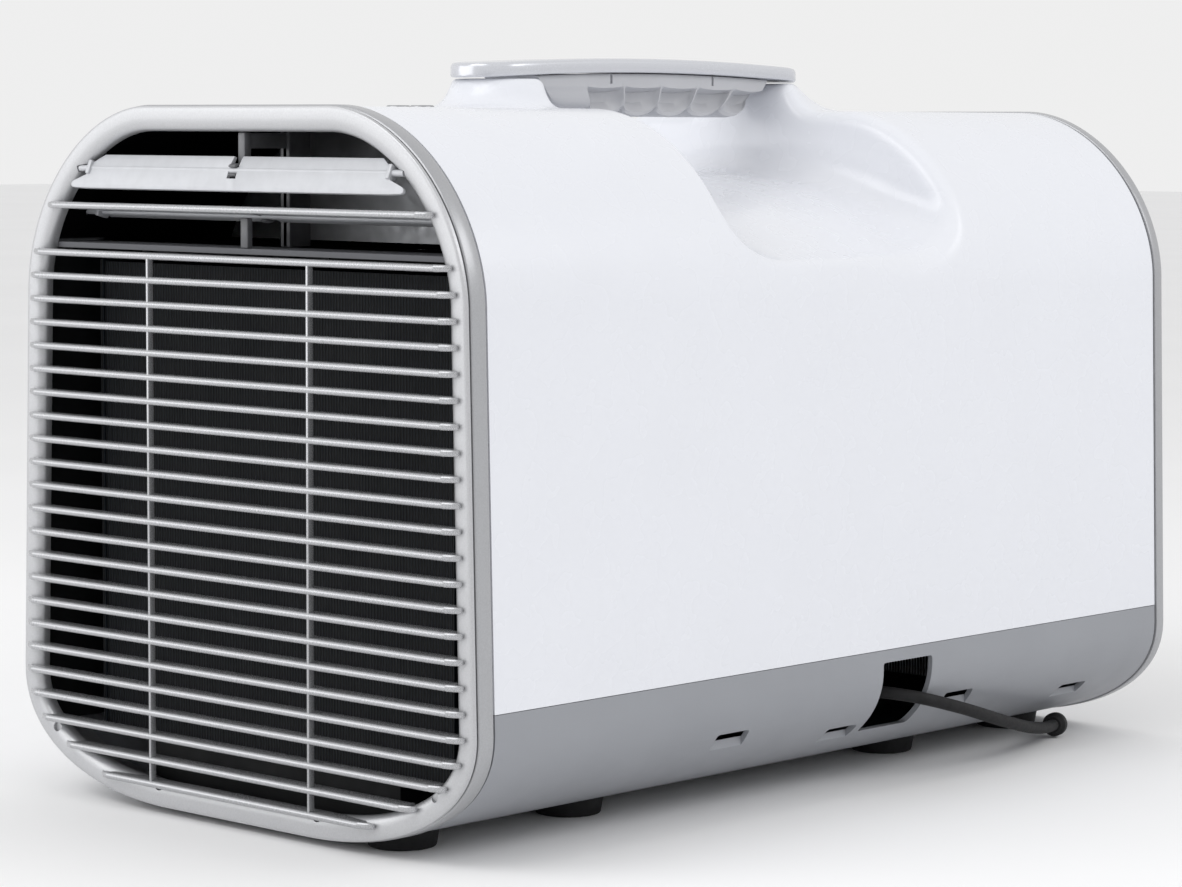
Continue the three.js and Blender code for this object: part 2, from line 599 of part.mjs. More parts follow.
/** The lower blade stays inside the duct at every angle and turns in the duct's walls. */
function lowerLouvre() {
  const half = halfWidthAt(LOUVRE_LOWER_HEIGHT + LOUVRE_FRONT, DUCT_INNER) - 2 * RUN;
  return louvreBlade(half, half, half, halfWidthAt(LOUVRE_LOWER_HEIGHT, DUCT_INNER) + SHEET / 2);
}

for (const [name, blade, y, z, tilt] of [
  ['louvre_upper', upperLouvre(), LOUVRE_UPPER_Y, LOUVRE_UPPER_HEIGHT, LOUVRE_UPPER_TILT],
  ['louvre_lower', lowerLouvre(), LOUVRE_LOWER_Y, LOUVRE_LOWER_HEIGHT, LOUVRE_LOWER_TILT],
]) {
  const mesh = piece(name, blade, CAP_SILVER);
  mesh.position.set(0, y, z);
  mesh.rotation.x = THREE.MathUtils.degToRad(tilt);
}

/** The fixed rib on the middle plane with an eye round each louvre's pin. */
function louvreHanger() {
  const half = HANGER_WIDTH / 2;
  const ribFront = LOUVRE_LOWER_Y + LOUVRE_FRONT + RUN;
  const ceiling = BODY_TOP - DUCT_INNER;
  const rib = block(-half, half, ribFront, ribFront + 14, DUCT_FLOOR_HEIGHT + FIT, ceiling - FIT);
  const arms = [];
  for (const [y, z] of [[LOUVRE_UPPER_Y, LOUVRE_UPPER_HEIGHT], [LOUVRE_LOWER_Y, LOUVRE_LOWER_HEIGHT]]) {
    const arm = block(-half, half, y, ribFront + 1, z - 1, z + 1);
    const eye = join(rodX(y, z, PIVOT_RADIUS + 2, -half, half), arm);
    arms.push(cut(eye, rodX(y, z, PIVOT_RADIUS + 0.4, -half - 1, half + 1)));
  }
  return join(rib, ...arms);
}

piece('louvre_hanger', louvreHanger(), DARK_PLASTIC);

// ---------------------------------------------------------------- handle

/** Underside height of the crowned cap at a station along Y. */
function capUnderside(y) {
  const share = (y - SCOOP_CENTRE) / (HANDLE_LENGTH / 2);
  return CAP_END_HEIGHT + CAP_CROWN * (1 - share * share);
}

function arcPoints(length, lift, steps = 10) {
  const points = [];
  for (let i = 0; i <= steps; i += 1) {
    const y = SCOOP_CENTRE - length / 2 + (length * i) / steps;
    points.push(new THREE.Vector2(y, capUnderside(y) + lift));
  }
  return points;
}

function handleCap() {
  const profile = [...arcPoints(HANDLE_LENGTH, 0), ...arcPoints(HANDLE_LENGTH, CAP_THICKNESS).reverse()];
  const plan = roundRect(0, SCOOP_CENTRE, HANDLE_WIDTH, HANDLE_LENGTH, CAP_CORNER, 7);
  return alongX(shapeFrom(profile), -HANDLE_WIDTH, HANDLE_WIDTH)
    .intersect(alongZ(shapeFrom(plan), CAP_END_HEIGHT - 20, CAP_END_HEIGHT + 40));
}

function handleGrip() {
  const lower = [
    new THREE.Vector2(SCOOP_CENTRE + GRIP_BOTTOM_LENGTH / 2, GRIP_BOTTOM_HEIGHT),
    new THREE.Vector2(SCOOP_CENTRE - GRIP_BOTTOM_LENGTH / 2, GRIP_BOTTOM_HEIGHT),
  ];
  const profile = shapeFrom([...lower, ...arcPoints(GRIP_TOP_LENGTH, -FIT)]);
  const blank = alongX(profile, -GRIP_WIDTH / 2, GRIP_WIDTH / 2);
  const grooves = [];
  for (let i = 0; i < FINGER_COUNT; i += 1) {
    const y = SCOOP_CENTRE + FINGER_SHIFT + (i - (FINGER_COUNT - 1) / 2) * FINGER_PITCH;
    const radius = FINGER_PITCH * 0.44;
    grooves.push(rodX(y, GRIP_BOTTOM_HEIGHT - radius + FINGER_DEPTH, radius, -GRIP_WIDTH, GRIP_WIDTH, 16));
  }
  const section = roundRect(0, GRIP_BOTTOM_HEIGHT + 25, GRIP_WIDTH, 50, GRIP_CORNER);
  return cut(blank, ...grooves).intersect(
    alongY(shapeFrom(section), SCOOP_CENTRE - HANDLE_LENGTH, SCOOP_CENTRE + HANDLE_LENGTH));
}

piece('handle_cap', handleCap(), CAP_SILVER);
piece('handle_grip', handleGrip(), GRIP_GREY);

// ---------------------------------------------------------------- feet

const underside = loaf(SHELL_INSET - FIT, FRONT_Y, REAR_Y);
for (const [end, station] of [
  ['front', FRONT_Y + FOOT_FRONT_MARGIN],
  ['front_middle', FRONT_Y + FOOT_FRONT_MARGIN + FOOT_PAIR_SPACING],
  ['rear_middle', REAR_Y - FOOT_REAR_MARGIN - FOOT_PAIR_SPACING],
  ['rear', REAR_Y - FOOT_REAR_MARGIN],
]) {
  for (const [hand, side] of [['left', -1], ['right', 1]]) {
    const pad = discZ(side * FOOT_SPREAD, station, 0, FOOT_HEIGHT, FOOT_RADIUS - 1.5, FOOT_RADIUS);
    piece(`foot_${end}_${hand}`, cut(pad, underside), RUBBER);
  }
}

// ---------------------------------------------------------------- evaporator side

/** Return bends that stand out of one end of a coil. */
function returnBends(y, low, high, side) {
  const bends = [];
  const pitch = (high - low) / COIL_PASSES;
  const x = side * (COIL_WIDTH / 2 - 1);
  const reach = side * 10;
  for (let i = side > 0 ? 0 : 1; i + 1 < COIL_PASSES; i += 2) {
    const z = low + pitch * (i + 0.5);
    bends.push(pipe([[x, y, z], [x + reach * 0.7, y, z + pitch * 0.12], [x + reach, y, z + pitch / 2],
      [x + reach * 0.7, y, z + pitch * 0.88], [x, y, z + pitch]], COIL_TUBE_RADIUS, 6, 6));
  }
  return bends;
}

/** A brazed coil: the fin pack, its two end plates and the return bends. */
function coil(name, y, high, material) {
  const half = COIL_WIDTH / 2;
  const fins = block(-half, half, y + 1, y + COIL_DEPTH - 1, COIL_LOW + 1, high - 1);
  const plates = [-1, 1].map((side) => block(
    side > 0 ? half - 2 : -half, side > 0 ? half : -half + 2, y, y + COIL_DEPTH, COIL_LOW, high));
  const middle = y + COIL_DEPTH / 2;
  piece(name, join(fins, ...plates,
    ...returnBends(middle, COIL_LOW, high, 1), ...returnBends(middle, COIL_LOW, high, -1)), material);
}

coil('evaporator_coil', EVAPORATOR_Y, EVAPORATOR_HIGH, FIN_BLUE);

function drainPan() {
  const half = halfWidthAt(CHASSIS_HEIGHT, INNER) - 4;
  const y0 = EVAPORATOR_Y - 0.5;
  const y1 = SCROLL_Y - 1;
  const outer = block(-half, half, y0, y1, CHASSIS_HEIGHT, COIL_LOW - FIT);
  const inner = block(-half + SHEET, half - SHEET, y0 + SHEET, y1 - SHEET,
    CHASSIS_HEIGHT + SHEET, COIL_LOW + 5);
  return cut(outer, inner);
}

piece('drain_pan', drainPan(), DARK_PLASTIC);

/** The air duct over the evaporator that ends at the arched outlet. */
function outletDuct() {
  const outerInset = RING_INNER + FIT;
  const from = RING_FLOOR_Y;
  const to = BULKHEAD_Y - FIT;
  const arch = band(outerInset, outerInset + SHEET, from, to);
  const floorHalf = halfWidthAt(DUCT_FLOOR_HEIGHT, outerInset) - 0.5;
  const floor = block(-floorHalf, floorHalf, from, to, DUCT_FLOOR_HEIGHT - SHEET, DUCT_FLOOR_HEIGHT);
  const below = block(-HALF, HALF, from - 5, to + 5, -5, DUCT_FLOOR_HEIGHT - SHEET);
  const throat = block(SHEET, SCROLL_RADIUS - SHEET, SCROLL_Y + SHEET, SCROLL_Y + SCROLL_DEPTH - SHEET,
    DUCT_FLOOR_HEIGHT - 10, DUCT_FLOOR_HEIGHT + 5);
  const socket = rodX(LOUVRE_LOWER_Y, LOUVRE_LOWER_HEIGHT, PIVOT_RADIUS + 0.4, -HALF, HALF, 12);
  return cut(join(cut(arch, below), floor), throat, socket);
}

piece('outlet_duct', outletDuct(), CAP_SILVER);

function scrollBody(radius, trim, y0, y1) {
  const round = discY(0, BLOWER_AXIS_HEIGHT, radius, y0, y1, 40);
  const riser = block(trim, radius, y0, y1, BLOWER_AXIS_HEIGHT, DUCT_FLOOR_HEIGHT - SHEET - FIT + trim * 3);
  return join(round, riser);
}

function blowerScroll() {
  const y1 = SCROLL_Y + SCROLL_DEPTH;
  const hollow = scrollBody(SCROLL_RADIUS - SHEET, SHEET, SCROLL_Y + SHEET, y1 - SHEET);
  const inlet = discY(0, BLOWER_AXIS_HEIGHT, WHEEL_RADIUS - 14, SCROLL_Y - 5, SCROLL_Y + 10, 32);
  const shaftHole = discY(0, BLOWER_AXIS_HEIGHT, SHAFT_RADIUS + 3, y1 - 8, y1 + 5, 16);
  return cut(scrollBody(SCROLL_RADIUS, 0, SCROLL_Y, y1), hollow, inlet, shaftHole);
}

/** The squirrel-cage wheel with its shaft into the motor. */
function blowerWheel() {
  const y0 = SCROLL_Y + SHEET + 3;
  const y1 = SCROLL_Y + SCROLL_DEPTH - SHEET - 3;
  const z = BLOWER_AXIS_HEIGHT;
  const back = discY(0, z, WHEEL_RADIUS, y1 - 2, y1);
  const rim = cut(discY(0, z, WHEEL_RADIUS, y0, y0 + 3), discY(0, z, WHEEL_RADIUS - 10, y0 - 1, y0 + 4));
  const hub = discY(0, z, 12, y1 - 14, y1, 16);
  const shaft = discY(0, z, SHAFT_RADIUS, y1 - 14, BLOWER_MOTOR_Y + BLOWER_MOTOR_DEPTH * 0.6, 12);
  const blades = [];
  for (let i = 0; i < WHEEL_BLADES; i += 1) {
    const blade = new THREE.BoxGeometry(9, y1 - y0 - 2, 1.4);
    blade.rotateY(THREE.MathUtils.degToRad(28));
    blade.translate(WHEEL_RADIUS - 5.5, (y0 + y1) / 2, 0);
    blade.rotateY((i / WHEEL_BLADES) * Math.PI * 2);
    blade.translate(0, 0, z);
    blades.push(solid(blade));
  }
  const cage = cut(join(...blades), cut(discY(0, z, WHEEL_RADIUS + 9, y0 - 5, y1 + 5),
    discY(0, z, WHEEL_RADIUS - 0.2, y0 - 6, y1 + 6)));
  return join(back, rim, hub, shaft, cage);
}

function blowerMotor() {
  const y0 = BLOWER_MOTOR_Y;
  const z = BLOWER_AXIS_HEIGHT;
  const can = discY(0, z, BLOWER_MOTOR_RADIUS, y0, y0 + BLOWER_MOTOR_DEPTH);
  const cap = discY(0, z, 14, y0 + BLOWER_MOTOR_DEPTH, y0 + BLOWER_MOTOR_DEPTH + 5, 20);
  const bore = discY(0, z, SHAFT_RADIUS + 0.4, y0 - 1, y0 + BLOWER_MOTOR_DEPTH * 0.6 + RUN, 16);
  return cut(join(can, cap), bore);
}

piece('blower_scroll', blowerScroll(), DARK_PLASTIC);
piece('blower_wheel', blowerWheel(), DARK_PLASTIC);
piece('blower_motor', blowerMotor(), STEEL);

// ---------------------------------------------------------------- machine space

const SUCTION = { x: SUCTION_INBOARD - SCROLL_RADIUS, z: SUCTION_LEVEL };
const LIQUID = { x: LIQUID_INBOARD - SCROLL_RADIUS, z: LIQUID_LEVEL };

function bulkhead() {
  const plate = loaf(INNER + FIT, BULKHEAD_Y, BULKHEAD_Y + SHEET);
  const holes = [discY(0, BLOWER_AXIS_HEIGHT, SHAFT_RADIUS + 3, BULKHEAD_Y - 2, BULKHEAD_Y + 5, 16)];
  for (const { x, z } of [SUCTION, LIQUID]) {
    holes.push(discY(x, z, PIPE_RADIUS + 1, BULKHEAD_Y - 2, BULKHEAD_Y + 5, 16));
  }
  return cut(plate, ...holes);
}

function chassisPlate() {
  const half = halfWidthAt(CHASSIS_HEIGHT - 2, INNER) - 2;
  const y0 = BULKHEAD_Y + SHEET + FIT;
  return block(-half, half, y0, SHROUD_Y - FIT, CHASSIS_HEIGHT - 2, CHASSIS_HEIGHT);
}

function compressor() {
  const r = COMPRESSOR_RADIUS;
  const z0 = COMPRESSOR_BASE;
  const z1 = z0 + COMPRESSOR_HEIGHT;
  const shell = turned([[0, z0], [r * 0.8, z0], [r, z0 + 10], [r, z1 - 24], [r * 0.9, z1 - 10],
    [r * 0.6, z1 - 2], [0, z1]], COMPRESSOR_X, COMPRESSOR_Y);
  const rim = r + COMPRESSOR_FLANGE;
  const flange = turned([[0, z0 + 0.5], [rim, z0 + 0.5], [rim, z0 + 3], [0, z0 + 3]],
    COMPRESSOR_X, COMPRESSOR_Y, 24);
  const terminal = discZ(COMPRESSOR_X - 18, COMPRESSOR_Y, z1 - 12, z1 + 8, 12, 12, 16);
  return join(shell, flange, terminal);
}

function accumulator() {
  const r = ACCUMULATOR_RADIUS;
  const z0 = CHASSIS_HEIGHT + ACCUMULATOR_STAND;
  const z1 = z0 + ACCUMULATOR_LENGTH;
  const can = turned([[0, z0], [r * 0.5, z0], [r, z0 + 14], [r, z1 - 14], [r * 0.5, z1], [0, z1]],
    ACCUMULATOR_X, ACCUMULATOR_Y, 20);
  const strap = block(COMPRESSOR_X + COMPRESSOR_RADIUS + FIT, ACCUMULATOR_X,
    ACCUMULATOR_Y - 5, ACCUMULATOR_Y + 5, z0 + 40, z0 + 52);
  return join(can, cut(strap, discZ(COMPRESSOR_X, COMPRESSOR_Y, 0, 300, COMPRESSOR_RADIUS + FIT)));
}

piece('bulkhead', bulkhead(), STEEL);
piece('chassis_plate', chassisPlate(), STEEL);
piece('compressor', compressor(), BLACK_STEEL);
for (let i = 1; i <= 3; i += 1) {
  const angle = (i / 3) * Math.PI * 2 + 0.5;
  piece(`compressor_grommet_${i}`, discZ(
    COMPRESSOR_X + GROMMET_CIRCLE * Math.cos(angle), COMPRESSOR_Y + GROMMET_CIRCLE * Math.sin(angle),
    CHASSIS_HEIGHT + FIT, COMPRESSOR_BASE - FIT, 6, 5, 12), RUBBER);
}
piece('accumulator', accumulator(), BLACK_STEEL);

const COMPRESSOR_TOP = COMPRESSOR_BASE + COMPRESSOR_HEIGHT;
const ACCUMULATOR_TOP = CHASSIS_HEIGHT + ACCUMULATOR_STAND + ACCUMULATOR_LENGTH;
const LIQUID_BYPASS_X = COMPRESSOR_X - COMPRESSOR_RADIUS - LIQUID_CLEARANCE;

piece('suction_pipe', pipe([
  [ACCUMULATOR_X, ACCUMULATOR_Y, ACCUMULATOR_TOP + FIT],
  [ACCUMULATOR_X, ACCUMULATOR_Y, ACCUMULATOR_TOP + 35],
  [ACCUMULATOR_X - 30, ACCUMULATOR_Y - 45, SUCTION.z],
  [SUCTION.x + 4, BULKHEAD_Y + 42, SUCTION.z],
  [SUCTION.x, BULKHEAD_Y + 24, SUCTION.z],
  [SUCTION.x, BULKHEAD_Y + 4, SUCTION.z],
  [SUCTION.x, BULKHEAD_Y - 30, SUCTION.z],
  [SUCTION.x, EVAPORATOR_Y + COIL_DEPTH + FIT, SUCTION.z],
], PIPE_RADIUS, 20), COPPER);
piece('discharge_pipe', pipe([
  [COMPRESSOR_X + 10, COMPRESSOR_Y + 5, COMPRESSOR_TOP + FIT],
  [COMPRESSOR_X + 10, COMPRESSOR_Y + 5, COMPRESSOR_TOP + 22],
  [COMPRESSOR_X + 10, COMPRESSOR_Y + 40, COMPRESSOR_TOP + 34],
  [COMPRESSOR_X, CONDENSER_Y - 20, COMPRESSOR_TOP + 34],
  [COMPRESSOR_X, CONDENSER_Y - FIT, COMPRESSOR_TOP + 34],
], PIPE_RADIUS, 14), COPPER);
piece('liquid_line', pipe([
  [LIQUID.x, CONDENSER_Y - FIT, LIQUID.z],
  [LIQUID.x, CONDENSER_Y - 30, LIQUID.z],
  [LIQUID_BYPASS_X, COMPRESSOR_Y + 30, LIQUID.z],
  [LIQUID_BYPASS_X, COMPRESSOR_Y - 40, LIQUID.z],
  [LIQUID.x, BULKHEAD_Y + 20, LIQUID.z],
  [LIQUID.x, EVAPORATOR_Y + COIL_DEPTH + FIT, LIQUID.z],
], LIQUID_RADIUS, 20, 6), COPPER);

const BOARD_X = BLOWER_MOTOR_RADIUS + BOARD_MOTOR_GAP;
const BOARD_Y = BLOWER_MOTOR_Y + 4;

/** The open tray on the bulkhead that carries the board. */
function boardTray() {
  const x1 = BOARD_X + BOARD_WIDTH;
  const z1 = BOARD_LOW + BOARD_HEIGHT;
  return cut(
    block(BOARD_X, x1, BLOWER_MOTOR_Y, BLOWER_MOTOR_Y + TRAY_DEPTH, BOARD_LOW, z1),
    block(BOARD_X + 2, x1 - 2, BLOWER_MOTOR_Y + 2, BLOWER_MOTOR_Y + TRAY_DEPTH + 3, BOARD_LOW + 2, z1 - 2));
}

/** The board with its relay, transformer, two capacitors and heat sink. */
function controlBoard() {
  const part = (x, width, z, height, tall) =>
    block(BOARD_X + x, BOARD_X + x + width, BOARD_Y + 1, BOARD_Y + tall,
      BOARD_LOW + z, BOARD_LOW + z + height);
  const capacitor = (z) => discY(BOARD_X + 18, BOARD_LOW + z, 8, BOARD_Y + 1, BOARD_Y + 22, 16);
  return join(
    block(BOARD_X + 3, BOARD_X + BOARD_WIDTH - 3, BOARD_Y, BOARD_Y + 1.6,
      BOARD_LOW + 3, BOARD_LOW + BOARD_HEIGHT - 3),
    part(8, 18, 8, 16, 14), part(32, 28, 10, 30, 10),
    capacitor(46), capacitor(68), part(34, 24, BOARD_HEIGHT - 40, 24, 5));
}

piece('board_tray', boardTray(), DARK_PLASTIC);
piece('control_board', controlBoard(), BOARD_GREEN);

// ---------------------------------------------------------------- condenser side

coil('condenser_coil', CONDENSER_Y, CONDENSER_HIGH, FIN_BARE);

const FAN_Y = SHROUD_Y + 8;
const FAN_MOTOR_Y = FAN_Y + FAN_DEPTH + 3;
const COLLAR_RADIUS = FAN_RADIUS + FAN_TIP_GAP;

function fanShroud() {
  const z = FAN_AXIS_HEIGHT;
  const plate = loaf(RING_INNER + FIT, SHROUD_Y, SHROUD_Y + SHEET);
  const collarDepth = FAN_MOTOR_Y + 8;
  const collar = discY(0, z, COLLAR_RADIUS + SHEET, SHROUD_Y, collarDepth, 48);
  const hole = discY(0, z, COLLAR_RADIUS, SHROUD_Y - 5, collarDepth + 5, 48);
  const seat = cut(
    discY(0, z, FAN_MOTOR_RADIUS + 4, FAN_MOTOR_Y + 2, FAN_MOTOR_Y + 7, 24),
    discY(0, z, FAN_MOTOR_RADIUS + FIT, FAN_MOTOR_Y - 5, FAN_MOTOR_Y + 12, 24));
  const arms = [];
  for (let i = 0; i < 4; i += 1) {
    const arm = new THREE.BoxGeometry(COLLAR_RADIUS - FAN_MOTOR_RADIUS, 5, 8);
    arm.translate((COLLAR_RADIUS + 2 + FAN_MOTOR_RADIUS) / 2, FAN_MOTOR_Y + 4.5, 0);
    arm.rotateY((i / 4) * Math.PI * 2 + Math.PI / 4);
    arm.translate(0, 0, z);
    arms.push(solid(arm));
  }
  return join(cut(join(plate, collar), hole), seat, ...arms);
}

function condenserFan() {
  const z = FAN_AXIS_HEIGHT;
  const parts = [discY(0, z, FAN_HUB_RADIUS, FAN_Y, FAN_Y + FAN_DEPTH, 24)];
  for (let i = 0; i < FAN_BLADES; i += 1) {
    const blade = new THREE.BoxGeometry(FAN_RADIUS - FAN_HUB_RADIUS + 4, 2, 44);
    blade.rotateX(THREE.MathUtils.degToRad(27));
    blade.translate((FAN_RADIUS + FAN_HUB_RADIUS) / 2 - 5, FAN_Y + FAN_DEPTH / 2, 0);
    blade.rotateY((i / FAN_BLADES) * Math.PI * 2);
    blade.translate(0, 0, z);
    parts.push(solid(blade));
  }
  const shaft = discY(0, z, SHAFT_RADIUS, FAN_Y + FAN_DEPTH - 1, FAN_MOTOR_Y + FAN_MOTOR_DEPTH * 0.6, 12);
  const bounds = discY(0, z, FAN_RADIUS, FAN_Y - 1, FAN_MOTOR_Y + FAN_MOTOR_DEPTH, 40);
  return join(...parts, shaft).intersect(bounds);
}

function fanMotor() {
  const z = FAN_AXIS_HEIGHT;
  const can = discY(0, z, FAN_MOTOR_RADIUS, FAN_MOTOR_Y, FAN_MOTOR_Y + FAN_MOTOR_DEPTH, 24);
  const boreEnd = FAN_MOTOR_Y + FAN_MOTOR_DEPTH * 0.6 + RUN;
  return cut(can, discY(0, z, SHAFT_RADIUS + 0.4, FAN_MOTOR_Y - 1, boreEnd, 16));
}

piece('fan_shroud', fanShroud(), DARK_PLASTIC);
piece('condenser_fan', condenserFan(), DARK_PLASTIC);
piece('fan_motor', fanMotor(), STEEL);

// ---------------------------------------------------------------- rear

const GUARD_RADIUS = FAN_RADIUS + GUARD_MARGIN;
const VENT_LEVEL = FAN_AXIS_HEIGHT - GUARD_RADIUS - VENT_DROP;

function rearRing() {
  return join(
    band(0, REAR_REBATE, REAR_PANEL_Y - FIT, REAR_Y),
    band(0, RING_INNER, REAR_RING_Y, REAR_PANEL_Y - FIT),
    band(INNER + FIT, RING_INNER, REAR_RING_Y - RING_TONGUE, REAR_RING_Y));
}

function rearGrille() {
  const y1 = REAR_Y - 0.8;
  const plate = loaf(REAR_REBATE + FIT, REAR_PANEL_Y, y1);
  const window = discY(0, FAN_AXIS_HEIGHT, GUARD_RADIUS, REAR_PANEL_Y - 2, y1 + 2, 48);
  const socket = block(INLET_X - INLET_WIDTH / 2, INLET_X + INLET_WIDTH / 2, REAR_PANEL_Y - 2, y1 + 2,
    INLET_LEVEL - INLET_HEIGHT / 2, INLET_LEVEL + INLET_HEIGHT / 2);
  const bars = [];
  const pitch = (2 * GUARD_RADIUS) / (GUARD_SLATS + 1);
  for (let i = 1; i <= GUARD_SLATS; i += 1) {
    const z = FAN_AXIS_HEIGHT - GUARD_RADIUS + i * pitch;
    const half = Math.sqrt(GUARD_RADIUS ** 2 - (z - FAN_AXIS_HEIGHT) ** 2) + 1;
    bars.push(block(-half, half, REAR_PANEL_Y, y1, z - GUARD_SLAT_HEIGHT / 2, z + GUARD_SLAT_HEIGHT / 2));
  }
  for (const x of [-BAR_SPACING / 2, 0, BAR_SPACING / 2]) {
    const half = Math.sqrt(GUARD_RADIUS ** 2 - x ** 2) + 1;
    bars.push(block(x - 1.5, x + 1.5, REAR_PANEL_Y, y1 - 0.6,
      FAN_AXIS_HEIGHT - half, FAN_AXIS_HEIGHT + half));
  }
  const vents = [];
  for (let i = -4; i <= 1; i += 1) {
    vents.push(block(i * 16 - 5, i * 16 + 5, REAR_PANEL_Y - 2, y1 + 2, VENT_LEVEL - 2, VENT_LEVEL + 2));
  }
  return cut(join(cut(plate, window), ...bars), socket, ...vents);
}

function powerInlet() {
  const w = INLET_WIDTH / 2 - FIT;
  const h = INLET_HEIGHT / 2 - FIT;
  const body = block(INLET_X - w, INLET_X + w, REAR_PANEL_Y - 10, REAR_Y - 1.2,
    INLET_LEVEL - h, INLET_LEVEL + h);
  const well = block(INLET_X - w + 4, INLET_X + w - 4, REAR_Y - 9, REAR_Y + 2,
    INLET_LEVEL - h + 4, INLET_LEVEL + h - 4);
  const pins = [];
  for (const shift of [-6, 6]) {
    pins.push(discY(INLET_X + shift, INLET_LEVEL, 2, REAR_Y - 9.5, REAR_Y - 3, 10));
  }
  return join(cut(body, well), ...pins);
}

const REAR_SCREWS = [
  [37 - HALF, BODY_TOP - 50.5],
  [HALF - 37, BODY_TOP - 50.5],
  [27 - HALF, BODY_BOTTOM + 59],
  [HALF - 25, BODY_BOTTOM + 69],
];
REAR_SCREWS.forEach(([x, z], i) => {
  piece(`rear_screw_${i + 1}`, discY(x, z, REAR_SCREW_RADIUS, REAR_Y - 0.8 + FIT, REAR_Y, 12), STEEL);
});

piece('rear_ring', rearRing(), SILVER);
piece('rear_grille', rearGrille(), GREY);
piece('power_inlet', powerInlet(), GLOSS_BLACK);

// ---------------------------------------------------------------- control panel

const PANEL_TOP = DECK_HEIGHT - 0.2;
const PANEL_BOTTOM = PANEL_TOP - PANEL_THICKNESS;
const OUTER_BUTTON = PANEL_WIDTH / 2 - BUTTON_MARGIN;
const BUTTON_STATIONS = {
  power: -OUTER_BUTTON,
  mode: BUTTON_SPACING - OUTER_BUTTON,
  cooler: OUTER_BUTTON - BUTTON_SPACING,
  warmer: OUTER_BUTTON,
};

/** A box on the panel that follows the display's outline, shrunk by a margin. */
function displayBlock(margin, z0, z1) {
  const x = DISPLAY_WIDTH / 2 - margin;
  const y = DISPLAY_LENGTH / 2 - margin;
  return block(-x, x, PANEL_CENTRE_Y - y, PANEL_CENTRE_Y + y, z0, z1);
}

function controlPanel() {
  const outline = roundRect(
    0, PANEL_CENTRE_Y, PANEL_WIDTH - 2 * FIT, PANEL_LENGTH - 2 * FIT, PANEL_CORNER - FIT);
  const plate = alongZ(shapeFrom(outline), PANEL_BOTTOM, PANEL_TOP);
  const holes = Object.values(BUTTON_STATIONS).map((x) =>
    discZ(x, PANEL_CENTRE_Y, PANEL_BOTTOM - 2, DECK_HEIGHT + 2, BUTTON_RADIUS + 0.4));
  return cut(plate, displayBlock(0, PANEL_TOP - 1, PANEL_TOP + 2), ...holes);
}

piece('control_panel', controlPanel(), DARK_PLASTIC);
piece('display_window', displayBlock(FIT, PANEL_TOP - 1 + FIT, DECK_HEIGHT), GLOSS_BLACK);
for (const [name, x] of Object.entries(BUTTON_STATIONS)) {
  piece(`button_${name}`, discZ(x, PANEL_CENTRE_Y, PANEL_BOTTOM + BUTTON_TRAVEL - 1.6,
    DECK_HEIGHT + BUTTON_STANDS, BUTTON_RADIUS, BUTTON_RADIUS - 0.5, 20), SILVER);
}

// ---------------------------------------------------------------- drain hose

const HOSE_ROUTE = [
  [126, 37, 44],
  [132.6, 40.8, 43.6],
  [139, 45.7, 42.7],
  [144.4, 51.8, 41.3],
  [148.1, 60, 39.1],
  [149.9, 71, 36],
  [150.3, 83, 32.6],
  [149.7, 96, 28.7],
  [148, 110, 24.6],
  [145.2, 125, 20.5],
  [141.3, 140, 16.7],
  [136.5, 155, 13.3],
  [131.1, 170, 10.5],
  [125.4, 184.5, 8.4],
  [119.5, 198, 7.2],
];

piece('drain_hose', pipe(HOSE_ROUTE, HOSE_RADIUS, 42, 10), RUBBER);

/** A body of revolution that continues a line from a point, from (radius, distance) pairs. */
function turnedAlong(point, toward, profile, sides = 16) {
  const geometry = new THREE.LatheGeometry(profile.map(([r, h]) => new THREE.Vector2(r, h)), sides);
  const direction = new THREE.Vector3(...toward).normalize();
  geometry.applyQuaternion(new THREE.Quaternion().setFromUnitVectors(new THREE.Vector3(0, 1, 0), direction));
  geometry.translate(...point);
  return solid(geometry);
}

function routeDirection(share) {
  const points = HOSE_ROUTE.map((p) => new THREE.Vector3(...p));
  return new THREE.CatmullRomCurve3(points, false, 'centripetal').getTangentAt(share).toArray();
}

const hoseStart = routeDirection(0).map((v) => -v);
const spigotProfile = [
  [0, FIT], [SPIGOT_RADIUS, FIT], [SPIGOT_RADIUS, 9], [6.5, 9], [6.5, 12], [4, 12], [4, 24], [0, 24]];
piece('drain_spigot', turnedAlong(HOSE_ROUTE[0], hoseStart, spigotProfile, 12), DARK_PLASTIC);
piece('drain_stopper', turnedAlong(HOSE_ROUTE[HOSE_ROUTE.length - 1], routeDirection(1),
  [[0, FIT], [4.2, FIT], [STOPPER_RADIUS, 2.6], [STOPPER_RADIUS, 7.5], [4.6, 10.4], [0, 11.4]], 16), RUBBER);

export default root;
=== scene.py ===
"""Looks of a portable camping air conditioner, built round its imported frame.

Sizes are in millimetres in the classes and become metres when a mesh is finished.
+Z is up, -Y is the cold-air face and +X is the side with the drain port.
"""

import logging
import math
from dataclasses import dataclass, field
from enum import Enum
from typing import Callable, Iterable, Sequence

import bmesh
import bpy
import numpy as np
from mathutils import Matrix, Vector

